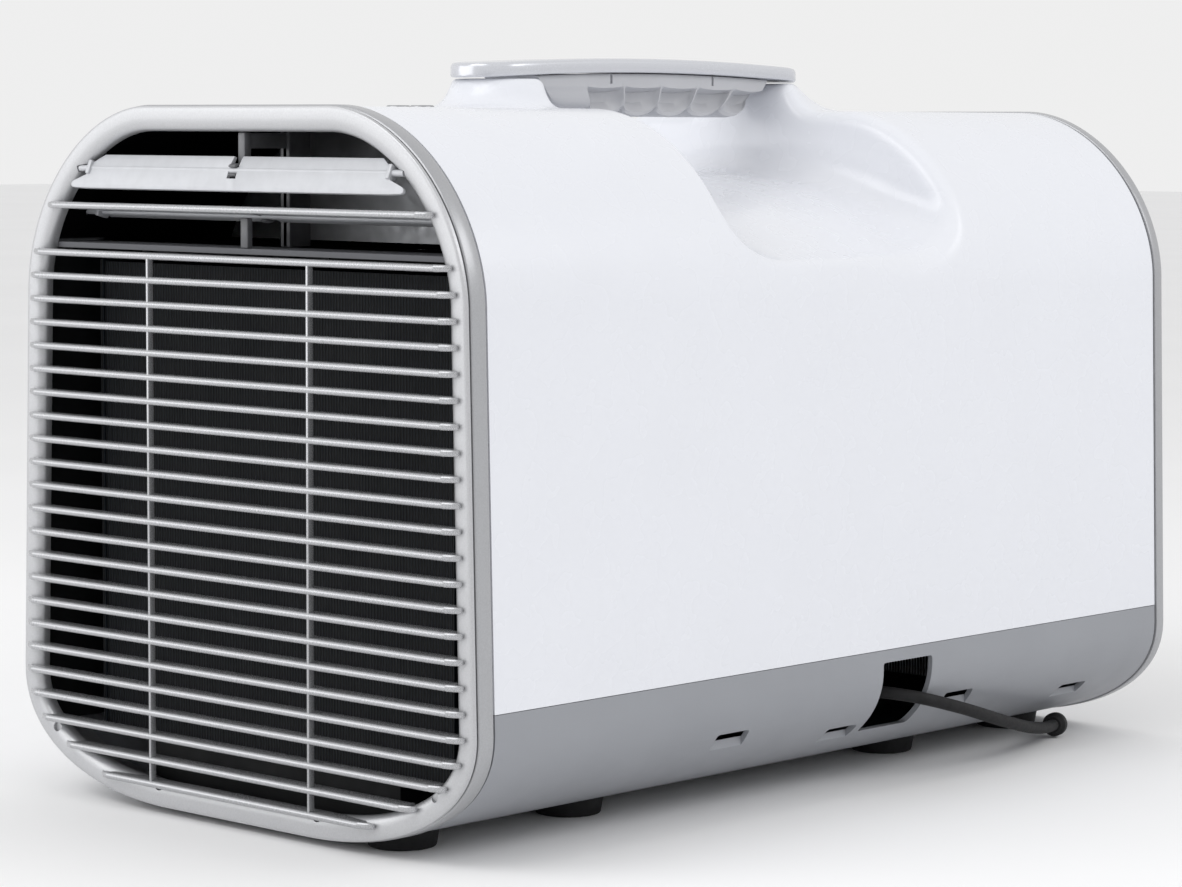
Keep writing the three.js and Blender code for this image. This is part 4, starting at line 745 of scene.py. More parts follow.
    def _base(self) -> None:
        """Makes the base with its port and its lifting notches."""
        high = self.split - FIT / 2
        side = [(SECTION.half_width(z, self.inset), z) for z in (high, high - 1.0, 62.0)]
        right = [*side, *reversed(SECTION.low_corner(self.inset, 34))]
        line = [*right, *((-x, z) for x, z in reversed(right))]
        stops = (self.front, self.front + 1, -160.0, -80.0, 0.0, 80.0, 160.0, self.rear - 1, self.rear)
        made = to_object("base_tub", loft([[(x, y, z) for x, z in line] for y in stops], closed=False))
        settle(thicken(made, self.wall))
        y0, y1, z0, z1 = self.port
        outline = round_rect((y0 + y1) / 2, (z0 + z1) / 2, y1 - y0, z1 - z0, 1.6, 4)
        tools = [prism(outline, SECTION.half - 40, SECTION.half + 6, "x")]
        for station, height in self.notches:
            for hand in (-1, 1):
                reach = SECTION.half_width(height, self.inset)
                ends = sorted((hand * (reach - 2.3), hand * (reach + 6)))
                pocket = round_rect(station, height, 22, 9.6, 1.6, 4)
                tools.append(prism(pocket, ends[0], ends[1], "x"))
        carve(made, tools)
        rim = made.modifiers.new("edges", "BEVEL")
        rim.width, rim.segments = 0.35 * MM, 2
        rim.limit_method, rim.angle_limit = "ANGLE", math.radians(50)
        place_piece(made, GREY, replaces=["lower_base"])


# ------------------------------------------------------------------ front


@dataclass
class Front:
    """The cold-air face: trim ring, panel, slats, louvres and the rib that carries them."""

    face: float = -248.0
    rim: float = 11.6
    slat_pitch: float = 10.78
    slat_count: int = 23
    slat_top: float = 251.6
    proud: float = 5.0
    slat_depth: float = 10.0
    wrap: float = 6.5
    bar_spread: float = 105.0
    upper_pivot: Flat = (-246.0, 290.0)
    lower_pivot: Flat = (-227.5, 270.0)
    upper_tilt: float = 68.0
    lower_tilt: float = -14.0
    chord: Flat = (-9.5, 6.5)
    screws: tuple[Flat, ...] = ((-125.0, 31.5), (125.0, 31.5))
    slat_height: float = 3.2
    slat_thinning: float = 0.24
    slat_bend: float = 9.0
    bar_half: float = 0.7
    bar_depth: float = 3.2
    hanger_bottom: float = 256.3
    hanger_top: float = 308.4
    clip_outer: float = 3.1
    clip_inner: float = 1.9

    def build(self) -> None:
        """Makes every piece of the front."""
        self._ring()
        self._bezel()
        self._slats()
        self._louvres()
        self._rib()
        self._intake_shade_walls()

    def _ring(self) -> None:
        """The trim ring round the panel, with its dark rebate."""
        front, back, floor = self.face + 3.0, self.face + 11.4, self.face + 6.5
        profile = [(0.0, back - 0.7), (0.0, front + 0.9), (0.25, front + 0.35), (0.8, front),
                   (2.1, front), (2.7, front + 0.4), (2.9, front + 1.0), (2.9, floor),
                   (7.0, floor), (7.0, back + 8.5), (4.0, back + 8.5), (4.0, back),
                   (0.7, back), (0.2, back - 0.2)]
        made = to_object("trim_ring", loft(ring_rows(profile), cyclic=True))
        place_piece(made, SILVER, replaces=["front_ring"])

    def _bezel(self) -> None:
        """The panel's rim, with the notches under the bars and two screw holes."""
        f, r = self.face, self.rim
        profile = [(3.2, f + 6.2), (3.2, f + 1.8), (0.5, f + 1.8), (0.5, f + 1.1), (0.75, f + 0.45),
                   (1.4, f + 0.1), (2.6, f), (6.0, f + 0.05), (7.8, f + 0.25), (9.2, f + 0.65),
                   (10.3, f + 1.3), (11.1, f + 2.2), (r, f + 3.6), (r, f + 6.2)]
        made = to_object("panel_rim", loft(ring_rows(profile), cyclic=True))
        socket = SECTION.half_width(self.upper_pivot[1], r) + 3.8
        tools = [prism(circle(self.upper_pivot[0], self.upper_pivot[1], 1.9, 16), -socket, socket, "x")]
        for x, z in self.screws:
            tools.append(prism(circle(x, z, 2.3, 20), f - 2, f + 1.6, "y"))
        for side in (-1, 1):
            x = side * self.bar_spread / 2
            low = SECTION.bottom + r
            tools.append(prism(circle(x, low + 0.6, 4.2, 20), f - 2, f + 8, "y"))
        carve(made, tools)
        # the lighter silver is painted light on the rim
        place_piece(made, LIT_RIM_SILVER, replaces=["front_bezel"])

    def _blade_section(self, front: float, back: float, tall: float, z: float) -> list[Flat]:
        """The chamfered (y, z) section of a slat."""
        nose = min(1.5, (back - front) * 0.3)
        turns = [math.radians(-90 + 22.5 * step) for step in range(9)]
        front_edge = [(front + nose * (1 - math.cos(t)), z + tall / 2 * math.sin(t)) for t in turns]
        return [*front_edge, (back - 0.4, z + tall * 0.36), (back, z + tall * 0.25),
                (back, z - tall * 0.25), (back - 0.4, z - tall * 0.36)]

    def _slat(self, z: float) -> bmesh.types.BMesh:
        """One slat whose ends curve back onto the rim."""
        lowest = SECTION.bottom + self.rim + 3.2
        opening = SECTION.half_width(max(z, lowest), self.rim)
        tip, back = opening + self.wrap, self.face - FIT
        rear = self.face - self.proud + self.slat_depth
        ends = [(opening - FIT, 0.0, rear), (opening - FIT + 0.01, 0.0, back)]
        for step in range(9):
            turn = math.pi / 2 * step / 8
            bent = (self.proud - 0.9) * (1 - math.cos(turn))
            ends.append((tip - self.slat_bend + self.slat_bend * math.sin(turn), bent, back))
        right = []
        for x, setback, deep in sorted(ends[:2]) + sorted(ends[2:]):
            if x < opening - FIT:
                deep = rear
            tall = self.slat_height - self.slat_thinning * setback
            right.append((x, self.face - self.proud + setback, deep, tall))
        right.sort()
        left = [(-x, *rest) for x, *rest in reversed(right)]
        stations = [*left, (0.0, self.face - self.proud, rear, self.slat_height), *right]
        rows = [[(x, y, h) for y, h in self._blade_section(front, deep, tall, z)]
                for x, front, deep, tall in stations]
        return loft(rows, caps=True)

    def _slats(self) -> None:
        """The intake slats with their two thin bars, and the slat across the outlet."""
        parts = [self._slat(self.slat_top - i * self.slat_pitch) for i in range(self.slat_count)]
        low = self.slat_top - (self.slat_count - 1) * self.slat_pitch
        front = self.face - self.proud + 0.5
        for side in (-1, 1):
            x = side * self.bar_spread / 2
            bar = box((x - self.bar_half, front, low),
                      (x + self.bar_half, front + self.bar_depth, self.slat_top))
            parts.append(soften(bar, 0.3, 2))
        made = to_object("intake_louvres", together(parts), smooth=25.0)
        place_piece(made, SLAT_SILVER, replaces=["intake_slats"])
        made = to_object("outlet_bar", self._slat(self.slat_top + 2 * self.slat_pitch), smooth=25.0)
        place_piece(made, SLAT_SILVER, replaces=["outlet_slat"])

    def _blade(self, widths: tuple[float, float, float], pin: float) -> bmesh.types.BMesh:
        """A louvre about its own pivot, curled at its ends and notched in the middle.

        Args:
            widths: Half widths at the front edge, at the pivot and at the rear edge.
            pin: How far the pins reach from the middle.

        Returns:
            The louvre, level, with its pivot at the origin.
        """
        at_front, at_pivot, at_rear = widths
        c0, c1 = self.chord
        right = [(2.9, c0, -4.2), (2.91, c0, c1), (at_rear * 0.6, c0, c1), (at_rear, c0, c1),
                 (at_pivot, c0, 1.0), (at_pivot + 0.01, c0, -3.5)]
        if at_front > at_pivot + 1:
            right += [(at_front - 1.2, c0 + 0.3, -6.4), (at_front, c0 + 1.0, -7.4)]
        stations = [(-x, a, b) for x, a, b in reversed(right)] + right
        rows = []
        for x, a, b in stations:
            across = [a + (b - a) * i / 8 for i in range(9)]
            crown = [1.1 * (1 - (2 * (y - c0) / (c1 - c0) - 1) ** 2) - 0.5 for y in across]
            top = [(x, y, h + 0.75) for y, h in zip(across, crown)]
            under = [(x, y, h - 0.75) for y, h in zip(across, crown)]
            rows.append([*top, *reversed(under)])
        blade = soften(loft(rows, caps=True), 0.35, 2, 50.0)
        rod = prism(circle(0, 0, 1.5, 16), -pin, pin, "x")
        tabs = []
        for side in (-1, 1):
            x0, x1 = sorted((side * (at_pivot - 2.4), side * at_pivot))
            tabs.append(soften(box((x0, -3.2, -2.6), (x1, 3.4, 2.4)), 0.6, 2))
        return together([blade, rod, *tabs])

    def _louvres(self) -> None:
        """The two louvres that turn on their own."""
        tilt = math.radians(self.upper_tilt)
        py, pz = self.upper_pivot

        def wide(chord: float) -> float:
            """Half the opening's width where that part of the blade stands."""
            return SECTION.half_width(pz + chord * math.sin(tilt), self.rim) - 4.0

        blade = self._blade((wide(self.chord[0]), wide(0.0), wide(self.chord[1])), wide(0.0) + 6.6)
        moved(blade, Matrix.Translation((0, py, pz)) @ Matrix.Rotation(tilt, 4, "X"))
        place_piece(to_object("louvre_blade_upper", blade), BLADE_SILVER, "upper_blade",
                    ["louvre_upper"])
        py, pz = self.lower_pivot
        half = SECTION.half_width(pz - self.chord[0], 9.7) - 1.6
        blade = self._blade((half, half, half), SECTION.half_width(pz, 9.7) + 1.0)
        tilt = math.radians(self.lower_tilt)
        moved(blade, Matrix.Translation((0, py, pz)) @ Matrix.Rotation(tilt, 4, "X"))
        place_piece(to_object("louvre_blade_lower", blade), BLADE_SILVER, "lower_blade",
                    ["louvre_lower"])

    def _rib(self) -> None:
        """The rib on the middle plane, its clips round the louvres' pins and its two posts."""
        y0 = self.lower_pivot[0] - self.chord[0] + 0.8
        bottom, top = self.hanger_bottom, self.hanger_top
        parts = [soften(box((-1.4, y0, bottom), (1.4, y0 + 14, top)), 0.4, 2),
                 soften(box((-3, y0, bottom), (3, y0 + 1.6, top)), 0.4, 2)]
        for y, z in (self.upper_pivot, self.lower_pivot):
            open_at = math.radians(180)
            turns = [open_at + math.radians(38 + 284 * i / 20) for i in range(21)]
            r = self.clip_outer
            outer = [(y + r * math.cos(t), z + r * math.sin(t)) for t in turns]
            r = self.clip_inner
            inner = [(y + r * math.cos(t), z + r * math.sin(t)) for t in reversed(turns)]
            parts.append(soften(prism([*outer, *inner], -2.2, 2.2, "x"), 0.3, 2, 50))
            parts.append(soften(box((-1.6, y + 3.0, z - 1.2), (1.6, y0 + 1, z + 1.2)), 0.3, 2))
        y, z = self.upper_pivot
        parts.append(soften(box((-2.2, y + 3.4, z + 2.6), (2.2, y + 7.4, 306.5)), 0.5, 2))
        parts.append(soften(box((-1.2, y + 6.0, 299.5), (1.2, y0 + 1, 306.3)), 0.4, 2))
        y = self.face + 6.7
        parts.append(soften(box((-2.4, y, bottom), (2.4, y + 3.0, self.lower_pivot[1] - 0.6)), 0.5, 2))
        made = to_object("louvre_rib", together(parts))
        place_piece(made, RIB_DARK, replaces=["louvre_hanger"])

    def _intake_shade_walls(self) -> None:
        """Dark walls on both sides inside the intake, from the opening back towards the evaporator:
        painted shade on the intake's sides.
        """
        heights = [34.0 + 218.0 * i / 24 for i in range(25)]
        inner = [(SECTION.half_width(z, 8.9), z) for z in heights]
        outer = [(SECTION.half_width(z, 7.5), z) for z in reversed(heights)]
        for hand, side in (("left", -1), ("right", 1)):
            outline = [(side * x, z) for x, z in (*inner, *outer)]
            strip = soften(prism(outline, self.face + 7.0, self.face + 60.0, "y"), 0.4, 2, 50)
            # painted shade: a dark wall where the intake's side lies in shade
            place_piece(to_object(f"intake_shade_wall_{hand}", strip), DARK)


# ------------------------------------------------------------------ handle


@dataclass
class Handle:
    """The crowned cap and the grip under it."""

    centre: float = 7.0
    length: float = 226.0
    half_width: float = 21.0
    end_radius: float = 20.0
    thickness: float = 6.8
    end_height: float = 332.0
    crown: float = 3.5
    grip_half: float = 17.5
    grip_bottom: float = 314.5
    grip_top_length: float = 166.0
    grip_bottom_length: float = 136.0
    fingers: int = 5
    finger_pitch: float = 23.0
    finger_shift: float = 15.0
    finger_depth: float = 8.0

    def build(self) -> None:
        """Makes the cap and the grip."""
        self._cap()
        self._grip()

    def _underside(self, y: float) -> float:
        """Height of the cap's underside at a station."""
        share = (y - self.centre) / (self.length / 2)
        return self.end_height + self.crown * (1 - share * share)

    def _cap(self) -> None:
        """The cap, rounded in plan at both ends and along its edges."""
        half = self.length / 2
        ends = [0.0, 0.15, 0.5, 1.1, 2.0, 3.2, 4.8, 6.8, 9.2, 12.0, 15.2, 20.0]
        left = [(self.centre - half + d, d) for d in ends]
        middle = [(self.centre - half + 20 + (2 * half - 40) * i / 16, 20.0) for i in range(1, 16)]
        right = [(self.centre + half - d, d) for d in reversed(ends)]
        rows = []
        for y, d in [*left, *middle, *right]:
            bulge = max(self.end_radius ** 2 - (self.end_radius - d) ** 2, 0.04)
            wide = self.half_width - self.end_radius + math.sqrt(bulge)
            low, high = self._underside(y), self._underside(y) + self.thickness
            drop = 2.2 * (1 - math.sqrt(1 - (1 - min(d / 2.2, 1.0)) ** 2))
            lift = 0.8 * (1 - min(d / 0.8, 1.0))
            high, low = high - drop, low + lift
            edge = min(1.0, wide / 6)
            right_side = [(wide - 1.0 * edge, low), (wide - 0.3 * edge, low + 0.25),
                          (wide, low + 0.9), (wide, high - 2.4), (wide - 0.35 * edge, high - 1.2),
                          (wide - 1.1 * edge, high - 0.45), (wide - 2.4 * edge, high - 0.12),
                          (wide * 0.5, high)]
            loop = [*right_side, (0.0, high), *((-x, z) for x, z in reversed(right_side)), (0.0, low)]
            rows.append([(x, y, z) for x, z in loop])
        made = to_object("handle_top", loft(rows, caps=True), smooth=40.0)
        place_piece(made, CAP_SILVER, replaces=["handle_cap"])

    def _pocket(self, y: float) -> float:
        """How far into a finger pocket a station lies, from 0 between pockets to 1."""
        first = self.centre + self.finger_shift - (self.fingers - 1) / 2 * self.finger_pitch
        nearest = round((y - first) / self.finger_pitch)
        if not 0 <= nearest < self.fingers:
            return 0.0
        share = abs(y - first - nearest * self.finger_pitch) / (self.finger_pitch * 0.47)
        return math.sqrt(max(1 - share * share, 0.0))

    def _grip(self) -> None:
        """The grip, with a row of finger pockets along both lower edges."""
        count = 184
        rows = []
        for i in range(count + 1):
            s = i / count - 0.5
            y_low = self.centre + s * self.grip_bottom_length
            pocket = self._pocket(y_low)
            top = self._underside(self.centre + s * self.grip_top_length) - FIT
            end = min((0.5 - abs(s)) * self.grip_bottom_length / 9.0, 1.0)
            low = self.grip_bottom + 2.6 * (1 - math.sqrt(1 - (1 - end) ** 2)) + 3.6 * (1 - pocket)
            tall = top - low
            shape = [(0.0, 1.0), (0.86, 1.0), (0.97, 0.985), (1.0, 0.94), (1.0, 0.80), (1.0, 0.665),
                     (0.995, 0.625), (0.97, 0.56), (0.95, 0.45), (0.93, 0.33), (0.90, 0.22),
                     (0.84, 0.11), (0.72, 0.03), (0.5, 0.0), (0.25, 0.0)]
            side = []
            for across, up in shape:
                dent = 0.0
                if 0.0 < up < 0.64:
                    dent = self.finger_depth * pocket * min((0.64 - up) / 0.05, 1.0) * min(up / 0.34, 1.0)
                x = across * self.grip_half - dent
                z = low + up * tall
                widening = self.grip_top_length - self.grip_bottom_length
                stretch = self.grip_bottom_length + widening * up ** 0.8
                side.append((x, self.centre + s * stretch, z))
            rest = [p for p in side if p[0] > 1e-6]
            rows.append([side[0], *rest, (0.0, y_low, low), *((-x, y, z) for x, y, z in reversed(rest))])
        made = to_object("hand_grip", loft(rows, caps=True), smooth=38.0)
        slots = []
        for y in (-25.0, 48.0):
            high = self._underside(y)
            for side in (-1, 1):
                x0, x1 = sorted((side * (self.grip_half - 1.2), side * (self.grip_half + 2)))
                slots.append(box((x0, y - 0.8, high - 5.2), (x1, y + 0.8, high + 1)))
        carve(made, slots, smooth=38.0)
        place_piece(made, GRIP_GREY, replaces=["handle_grip"])


# ------------------------------------------------------------------ feet


@dataclass
class Feet:
    """The rubber feet."""

    radius: float = 16.4
    height: float = 9.6
    spread: float = 75.0
    stations: tuple[tuple[str, float], ...] = (
        ("front", -218.0), ("front_middle", -114.0), ("rear_middle", 114.0), ("rear", 218.0))

    def build(self) -> None:
        """Makes the feet."""
        r, h = self.radius, self.height
        profile = [(0, 0.9), (8.6, 0.9), (9.2, 0.0), (13.9, 0.0), (14.7, 0.3), (15.0, 1.0),
                   (r, h - 0.8), (r - 0.5, h), (0, h)]
        for place, station in self.stations:
            for hand, side in (("left", -1), ("right", 1)):
                foot = moved(turned(profile, 48), Matrix.Translation((side * self.spread, station, 0)))
                made = to_object(f"rubber_foot_{place}_{hand}", foot)
                place_piece(made, RUBBER, replaces=[f"foot_{place}_{hand}"])


# ------------------------------------------------------------------ rear


@dataclass
class Rear:
    """The warm-air face: ring, guarded grille, inlet, screws and the fan behind it."""

    rear: float = 253.0
    guard_height: float = 160.0
    guard_radius: float = 106.0
    guard_slats: int = 16
    inlet: tuple[float, float, float, float] = (92.0, 38.0, 34.0, 24.0)
    screws: tuple[Flat, ...] = ((-112.0, 268.0), (112.0, 268.0), (-122.0, 62.0), (124.0, 72.0))
    fan_front: float = 194.9
    fan_depth: float = 26.0
    fan_radius: float = 100.0
    hub_radius: float = 30.0
    blades: int = 5

    def build(self) -> None:
        """Makes every piece of the rear."""
        self._ring()
        self._grille()
        self._screws()
        self._fan()

    def _ring(self) -> None:
        """The rear trim ring."""
        r = self.rear
        profile = [(0.0, r - 5.8), (0.0, r - 1.4), (0.4, r - 0.4), (1.4, r), (3.6, r), (4.6, r - 0.3),
                   (5.0, r - 1.0), (5.0, r - 3.7), (7.0, r - 3.7), (7.0, r - 15.1), (4.0, r - 15.1),
                   (4.0, r - 6.6), (0.7, r - 6.6), (0.2, r - 6.4)]
        made = to_object("rear_trim_ring", loft(ring_rows(profile), cyclic=True))
        place_piece(made, SILVER, replaces=["rear_ring"])

    def _grille(self) -> None:
        """The rear panel with its round guard, its low vents and the inlet's opening."""
        y0, y1 = self.rear - 3.4, self.rear - 0.8
        made = to_object("rear_panel", soften(prism(SECTION.outline(5.3), y0, y1, "y"), 0.5, 2, 50))
        x, z, wide, tall = self.inlet
        tools = [prism(circle(0, self.guard_height, self.guard_radius, 96), y0 - 3, y1 + 3, "y"),
                 prism(round_rect(x, z, wide, tall, 2.0, 4), y0 - 3, y1 + 3, "y")]
        for i in range(-4, 2):
            tools.append(prism(round_rect(i * 16, 34, 10, 4, 1.9, 4), y0 - 3, y1 + 3, "y"))
        carve(made, tools)
        place_piece(made, GREY, replaces=["rear_grille"])
        self._guard(y0, y1)

    def _guard(self, y0: float, y1: float) -> None:
        """The slats and bars of the round guard, and its rim."""
        parts = []
        pitch = 2 * self.guard_radius / (self.guard_slats + 1)
        for i in range(1, self.guard_slats + 1):
            up = i * pitch - self.guard_radius
            half = math.sqrt(self.guard_radius ** 2 - up ** 2) + 1.5
            z = self.guard_height + up
            parts.append(soften(box((-half, y0, z - 1.6), (half, y1, z + 1.6)), 0.6, 2))
        for x in (-52.5, 0.0, 52.5):
            half = math.sqrt(self.guard_radius ** 2 - x ** 2) + 1.5
            z = self.guard_height
            upright = box((x - 1.5, y0 + 0.2, z - half), (x + 1.5, y1 - 0.5, z + half))
            parts.append(soften(upright, 0.5, 2))
        rim = [[(radius * math.cos(t), y, self.guard_height + radius * math.sin(t))
                for t in (2 * math.pi * k / 96 for k in range(96))]
               for radius, y in ((106.2, y0), (106.2, y1 + 0.3), (107.2, y1 + 0.75), (108.8, y1 + 0.75),
                                 (109.8, y1 + 0.2), (109.8, y0))]
        parts.append(loft(rim, cyclic=True))
        place_piece(to_object("rear_guard", together(parts)), GREY)

    def _screws(self) -> None:
        """The screws with crossed recesses that hold the rear panel."""
        for number, (x, z) in enumerate(self.screws, start=1):
            y = self.rear
            profile = [(0, 0.0), (2.0, 0.0), (2.8, -0.15), (3.2, -0.45), (3.2, -1.6), (0, -1.6)]
            head = turned(profile, 32)
            moved(head, Matrix.Translation((x, y, z)) @ Matrix.Rotation(-math.pi / 2, 4, "X"))
            made = to_object(f"panel_screw_{number}", head)
            long, thin = 1.9, 0.35
            quarter = [(long, thin), (thin, thin), (thin, long)]
            half = [*quarter, *((-a, b) for a, b in reversed(quarter))]
            cross = [*half, *((a, -b) for a, b in reversed(half))]
            carve(made, [prism([(x + a, z + b) for a, b in cross], y - 0.7, y + 1, "y")])
            place_piece(made, STEEL, replaces=[f"rear_screw_{number}"])

    def _fan(self) -> None:
        """The condenser fan: a domed hub and swept blades with a real twist."""
        y0, y1 = self.fan_front, self.fan_front + self.fan_depth
        hub = turned([(0, 0), (self.hub_radius - 3, 0), (self.hub_radius, 3), (self.hub_radius, 24),
                      (self.hub_radius - 2, 26), (12, 26), (10, 25), (0, 25)], 64)
        moved(hub, Matrix.Translation((0, y0, self.guard_height)) @ Matrix.Rotation(-math.pi / 2, 4, "X"))
        parts = [hub]
        for number in range(self.blades):
            rows = []
            for step in range(13):
                r = self.hub_radius - 2 + (self.fan_radius - self.hub_radius + 1.4) * step / 12
                twist = math.radians(38 - 16 * step / 12)
                span = 20 + 5 * math.sin(math.pi * step / 12)
                lean = math.radians(2.2 * step)
                upper, lower = [], []
                for k in range(9):
                    u = (k / 4 - 1) * span
                    camber = 3.0 * (1 - (k / 4 - 1) ** 2)
                    thick = 1.1 * math.sqrt(max(1 - (k / 4 - 1) ** 2, 0.04))
                    for bucket, shift in ((upper, thick), (lower, -thick)):
                        along = u * math.sin(twist) * 0.62 + camber + shift
                        turn = lean + u * math.cos(twist) / r + number * 2 * math.pi / self.blades
                        bucket.append((r * math.cos(turn), (y0 + y1) / 2 - 1 + along,
                                       self.guard_height + r * math.sin(turn)))
                rows.append([*upper, *reversed(lower)])
            parts.append(loft(rows, caps=True))
        parts.append(prism(circle(0, self.guard_height, 4, 20), y1 - 1, y1 + 16.2, "y"))
        made = to_object("fan_rotor", together(parts))
        place_piece(made, DARK, "fan", ["condenser_fan"])


# ------------------------------------------------------------------ controls


class Mark(Enum):
    """The plain signs on the keys."""

    POWER = "power"
    RING = "ring"
    MINUS = "minus"
    PLUS = "plus"


@dataclass
class Controls:
    """The control panel on the deck, with its window and keys."""

    centre: float = -176.0
    deck: float = 317.8
    size: Flat = (111.4, 45.4)
    key_radius: float = 5.4
    keys: tuple[tuple[str, float, Mark], ...] = (
        ("power", -44.0, Mark.POWER), ("mode", -29.0, Mark.RING),
        ("cooler", 29.0, Mark.MINUS), ("warmer", 44.0, Mark.PLUS))

    def build(self) -> None:
        """Makes the panel, the window and the keys."""
        (width, length), deck = self.size, self.deck
        plate = prism(round_rect(0, self.centre, width, length, 7.7, 8), deck - 2.8, deck - 0.2, "z")
        made = to_object("panel_plate", soften(plate, 0.4, 2, 50))
        tools = [prism(circle(x, self.centre, self.key_radius + 0.4, 32), deck - 5, deck + 2, "z")
                 for _, x, _ in self.keys]
        tools.append(prism(round_rect(0, self.centre, 36, 24, 1.5, 4), deck - 1.2, deck + 2, "z"))
        carve(made, tools)
        place_piece(made, PANEL_DARK, replaces=["control_panel"])
        glass = prism(round_rect(0, self.centre, 35.4, 23.4, 1.3, 4), deck - 0.9, deck, "z")
        made = to_object("display_glass", soften(glass, 0.25, 2, 50))
        place_piece(made, GLOSS_BLACK, replaces=["display_window"])
        for name, x, mark in self.keys:
            self._key(name, x, mark)

    def _key(self, name: str, x: float, mark: Mark) -> None:
        """One dished key with its sign."""
        r, low, high = self.key_radius, self.deck - 3.2, self.deck + 0.9
        profile = [(0, low), (r, low), (r, high - 0.9), (r - 0.15, high - 0.4), (r - 0.6, high),
                   (r - 1.3, high), (r - 2.6, high - 0.15), (0, high - 0.3)]
        key = moved(turned(profile, 40), Matrix.Translation((x, self.centre, 0)))
        body = f"{name}_key"
        place_piece(to_object(f"key_{name}", key), SILVER, body, [f"button_{name}"])
        sign = moved(self._sign(mark), Matrix.Translation((x, self.centre, high - 0.3)))
        place_piece(to_object(f"key_sign_{name}", sign), PANEL_DARK, body)

    def _sign(self, mark: Mark) -> bmesh.types.BMesh:
        """A thin raised sign about the origin."""
        if mark in (Mark.MINUS, Mark.PLUS):
            stroke = box((-1.5, -0.25, -0.1), (1.5, 0.25, 0.12))
            if mark is Mark.MINUS:
                return stroke
            return together([stroke, box((-0.25, -1.5, -0.1), (0.25, 1.5, 0.12))])
        gap = 40 if mark is Mark.POWER else 0
        turns = [math.radians(90 + gap + (360 - 2 * gap) * i / 24) for i in range(25 if gap else 24)]
        profile = ((1.25, -0.1), (1.25, 0.12), (1.65, 0.12), (1.65, -0.1))
        rows = [[(r * math.cos(t), r * math.sin(t), h) for r, h in profile] for t in turns]
        arc = loft(rows, cyclic=not gap, caps=bool(gap))
        if mark is Mark.POWER:
            return together([arc, box((-0.22, 0.3, -0.1), (0.22, 1.9, 0.12))])
        return arc


# ------------------------------------------------------------------ drain hose


@dataclass
class DrainHose:
    """The short drain hose with its spigot and its rubber stopper."""

    radius: float = 3.0
    route: tuple[Point, ...] = (
        (126, 37, 44), (132.6, 40.8, 43.6), (139, 45.7, 42.7), (144.4, 51.8, 41.3),
        (148.1, 60, 39.1), (149.9, 71, 36), (150.3, 83, 32.6), (149.7, 96, 28.7),
        (148, 110, 24.6), (145.2, 125, 20.5), (141.3, 140, 16.7), (136.5, 155, 13.3),
        (131.1, 170, 10.5), (125.4, 184.5, 8.4), (119.5, 198, 7.2))

    def _line(self, fine: int = 5) -> list[Vector]:
        """The route as close points on one smooth curve."""
        points = [Vector(p) for p in self.route]
        points = [points[0] * 2 - points[1], *points, points[-1] * 2 - points[-2]]
        line = [points[1]]
        for a, b, c, d in zip(points, points[1:], points[2:], points[3:]):
            t1 = math.sqrt((b - a).length)
            t2 = t1 + math.sqrt((c - b).length)
            t3 = t2 + math.sqrt((d - c).length)
            for step in range(1, fine + 1):
                t = t1 + (t2 - t1) * step / fine
                ab = a.lerp(b, t / t1)
                bc = b.lerp(c, (t - t1) / (t2 - t1))
                cd = c.lerp(d, (t - t2) / (t3 - t2))
                abc = ab.lerp(bc, t / t2)
                bcd = bc.lerp(cd, (t - t1) / (t3 - t1))
                line.append(abc.lerp(bcd, (t - t1) / (t2 - t1)))
        return line

    def build(self) -> None:
        """Makes the hose, its stopper and its spigot."""
        line = self._line()
        curve = bpy.data.curves.new("hose", "CURVE")
        curve.dimensions, curve.bevel_depth, curve.bevel_resolution = "3D", self.radius * MM, 6
        curve.use_fill_caps = True
        spline = curve.splines.new("POLY")
        spline.points.add(len(line) - 1)
        for point, place in zip(spline.points, line):
            point.co = (*(place * MM), 1.0)
        hose = bpy.data.objects.new("hose", curve)
        bpy.context.scene.collection.objects.link(hose)
        place_piece(hose, RUBBER, replaces=["drain_hose"])
        stopper = self._along(line[-1], line[-1] - line[-2], [
            (0, FIT), (3.9, FIT), (4.2, 0.6), (4.5, 1.4), (5.6, 2.0), (6.0, 2.6), (6.0, 7.4), (5.7, 8.0),
            (4.8, 8.4), (4.6, 9.4), (4.0, 10.6), (2.6, 11.2), (0, 11.4)], "hose_stopper")
        place_piece(stopper, RUBBER, replaces=["drain_stopper"])
        spigot = self._along(line[0], line[0] - line[1], [
            (0, FIT), (4.4, FIT), (4.6, 1.2), (4.0, 1.8), (4.6, 3.2), (4.0, 3.8), (4.6, 5.2), (4.0, 5.8),
            (4.4, 9), (6.5, 9), (6.5, 12), (4, 12), (4, 24), (0, 24)], "hose_spigot")
        place_piece(spigot, DARK, replaces=["drain_spigot"])

    def _along(self, start: Vector, toward: Vector, profile: Sequence[Flat],
               name: str) -> bpy.types.Object:
        """A turned piece that continues a line from a point."""
        turn = toward.to_track_quat("Z", "Y").to_matrix().to_4x4()
        return to_object(name, moved(turned(profile, 32), Matrix.Translation(start) @ turn))


# ------------------------------------------------------------------ inside


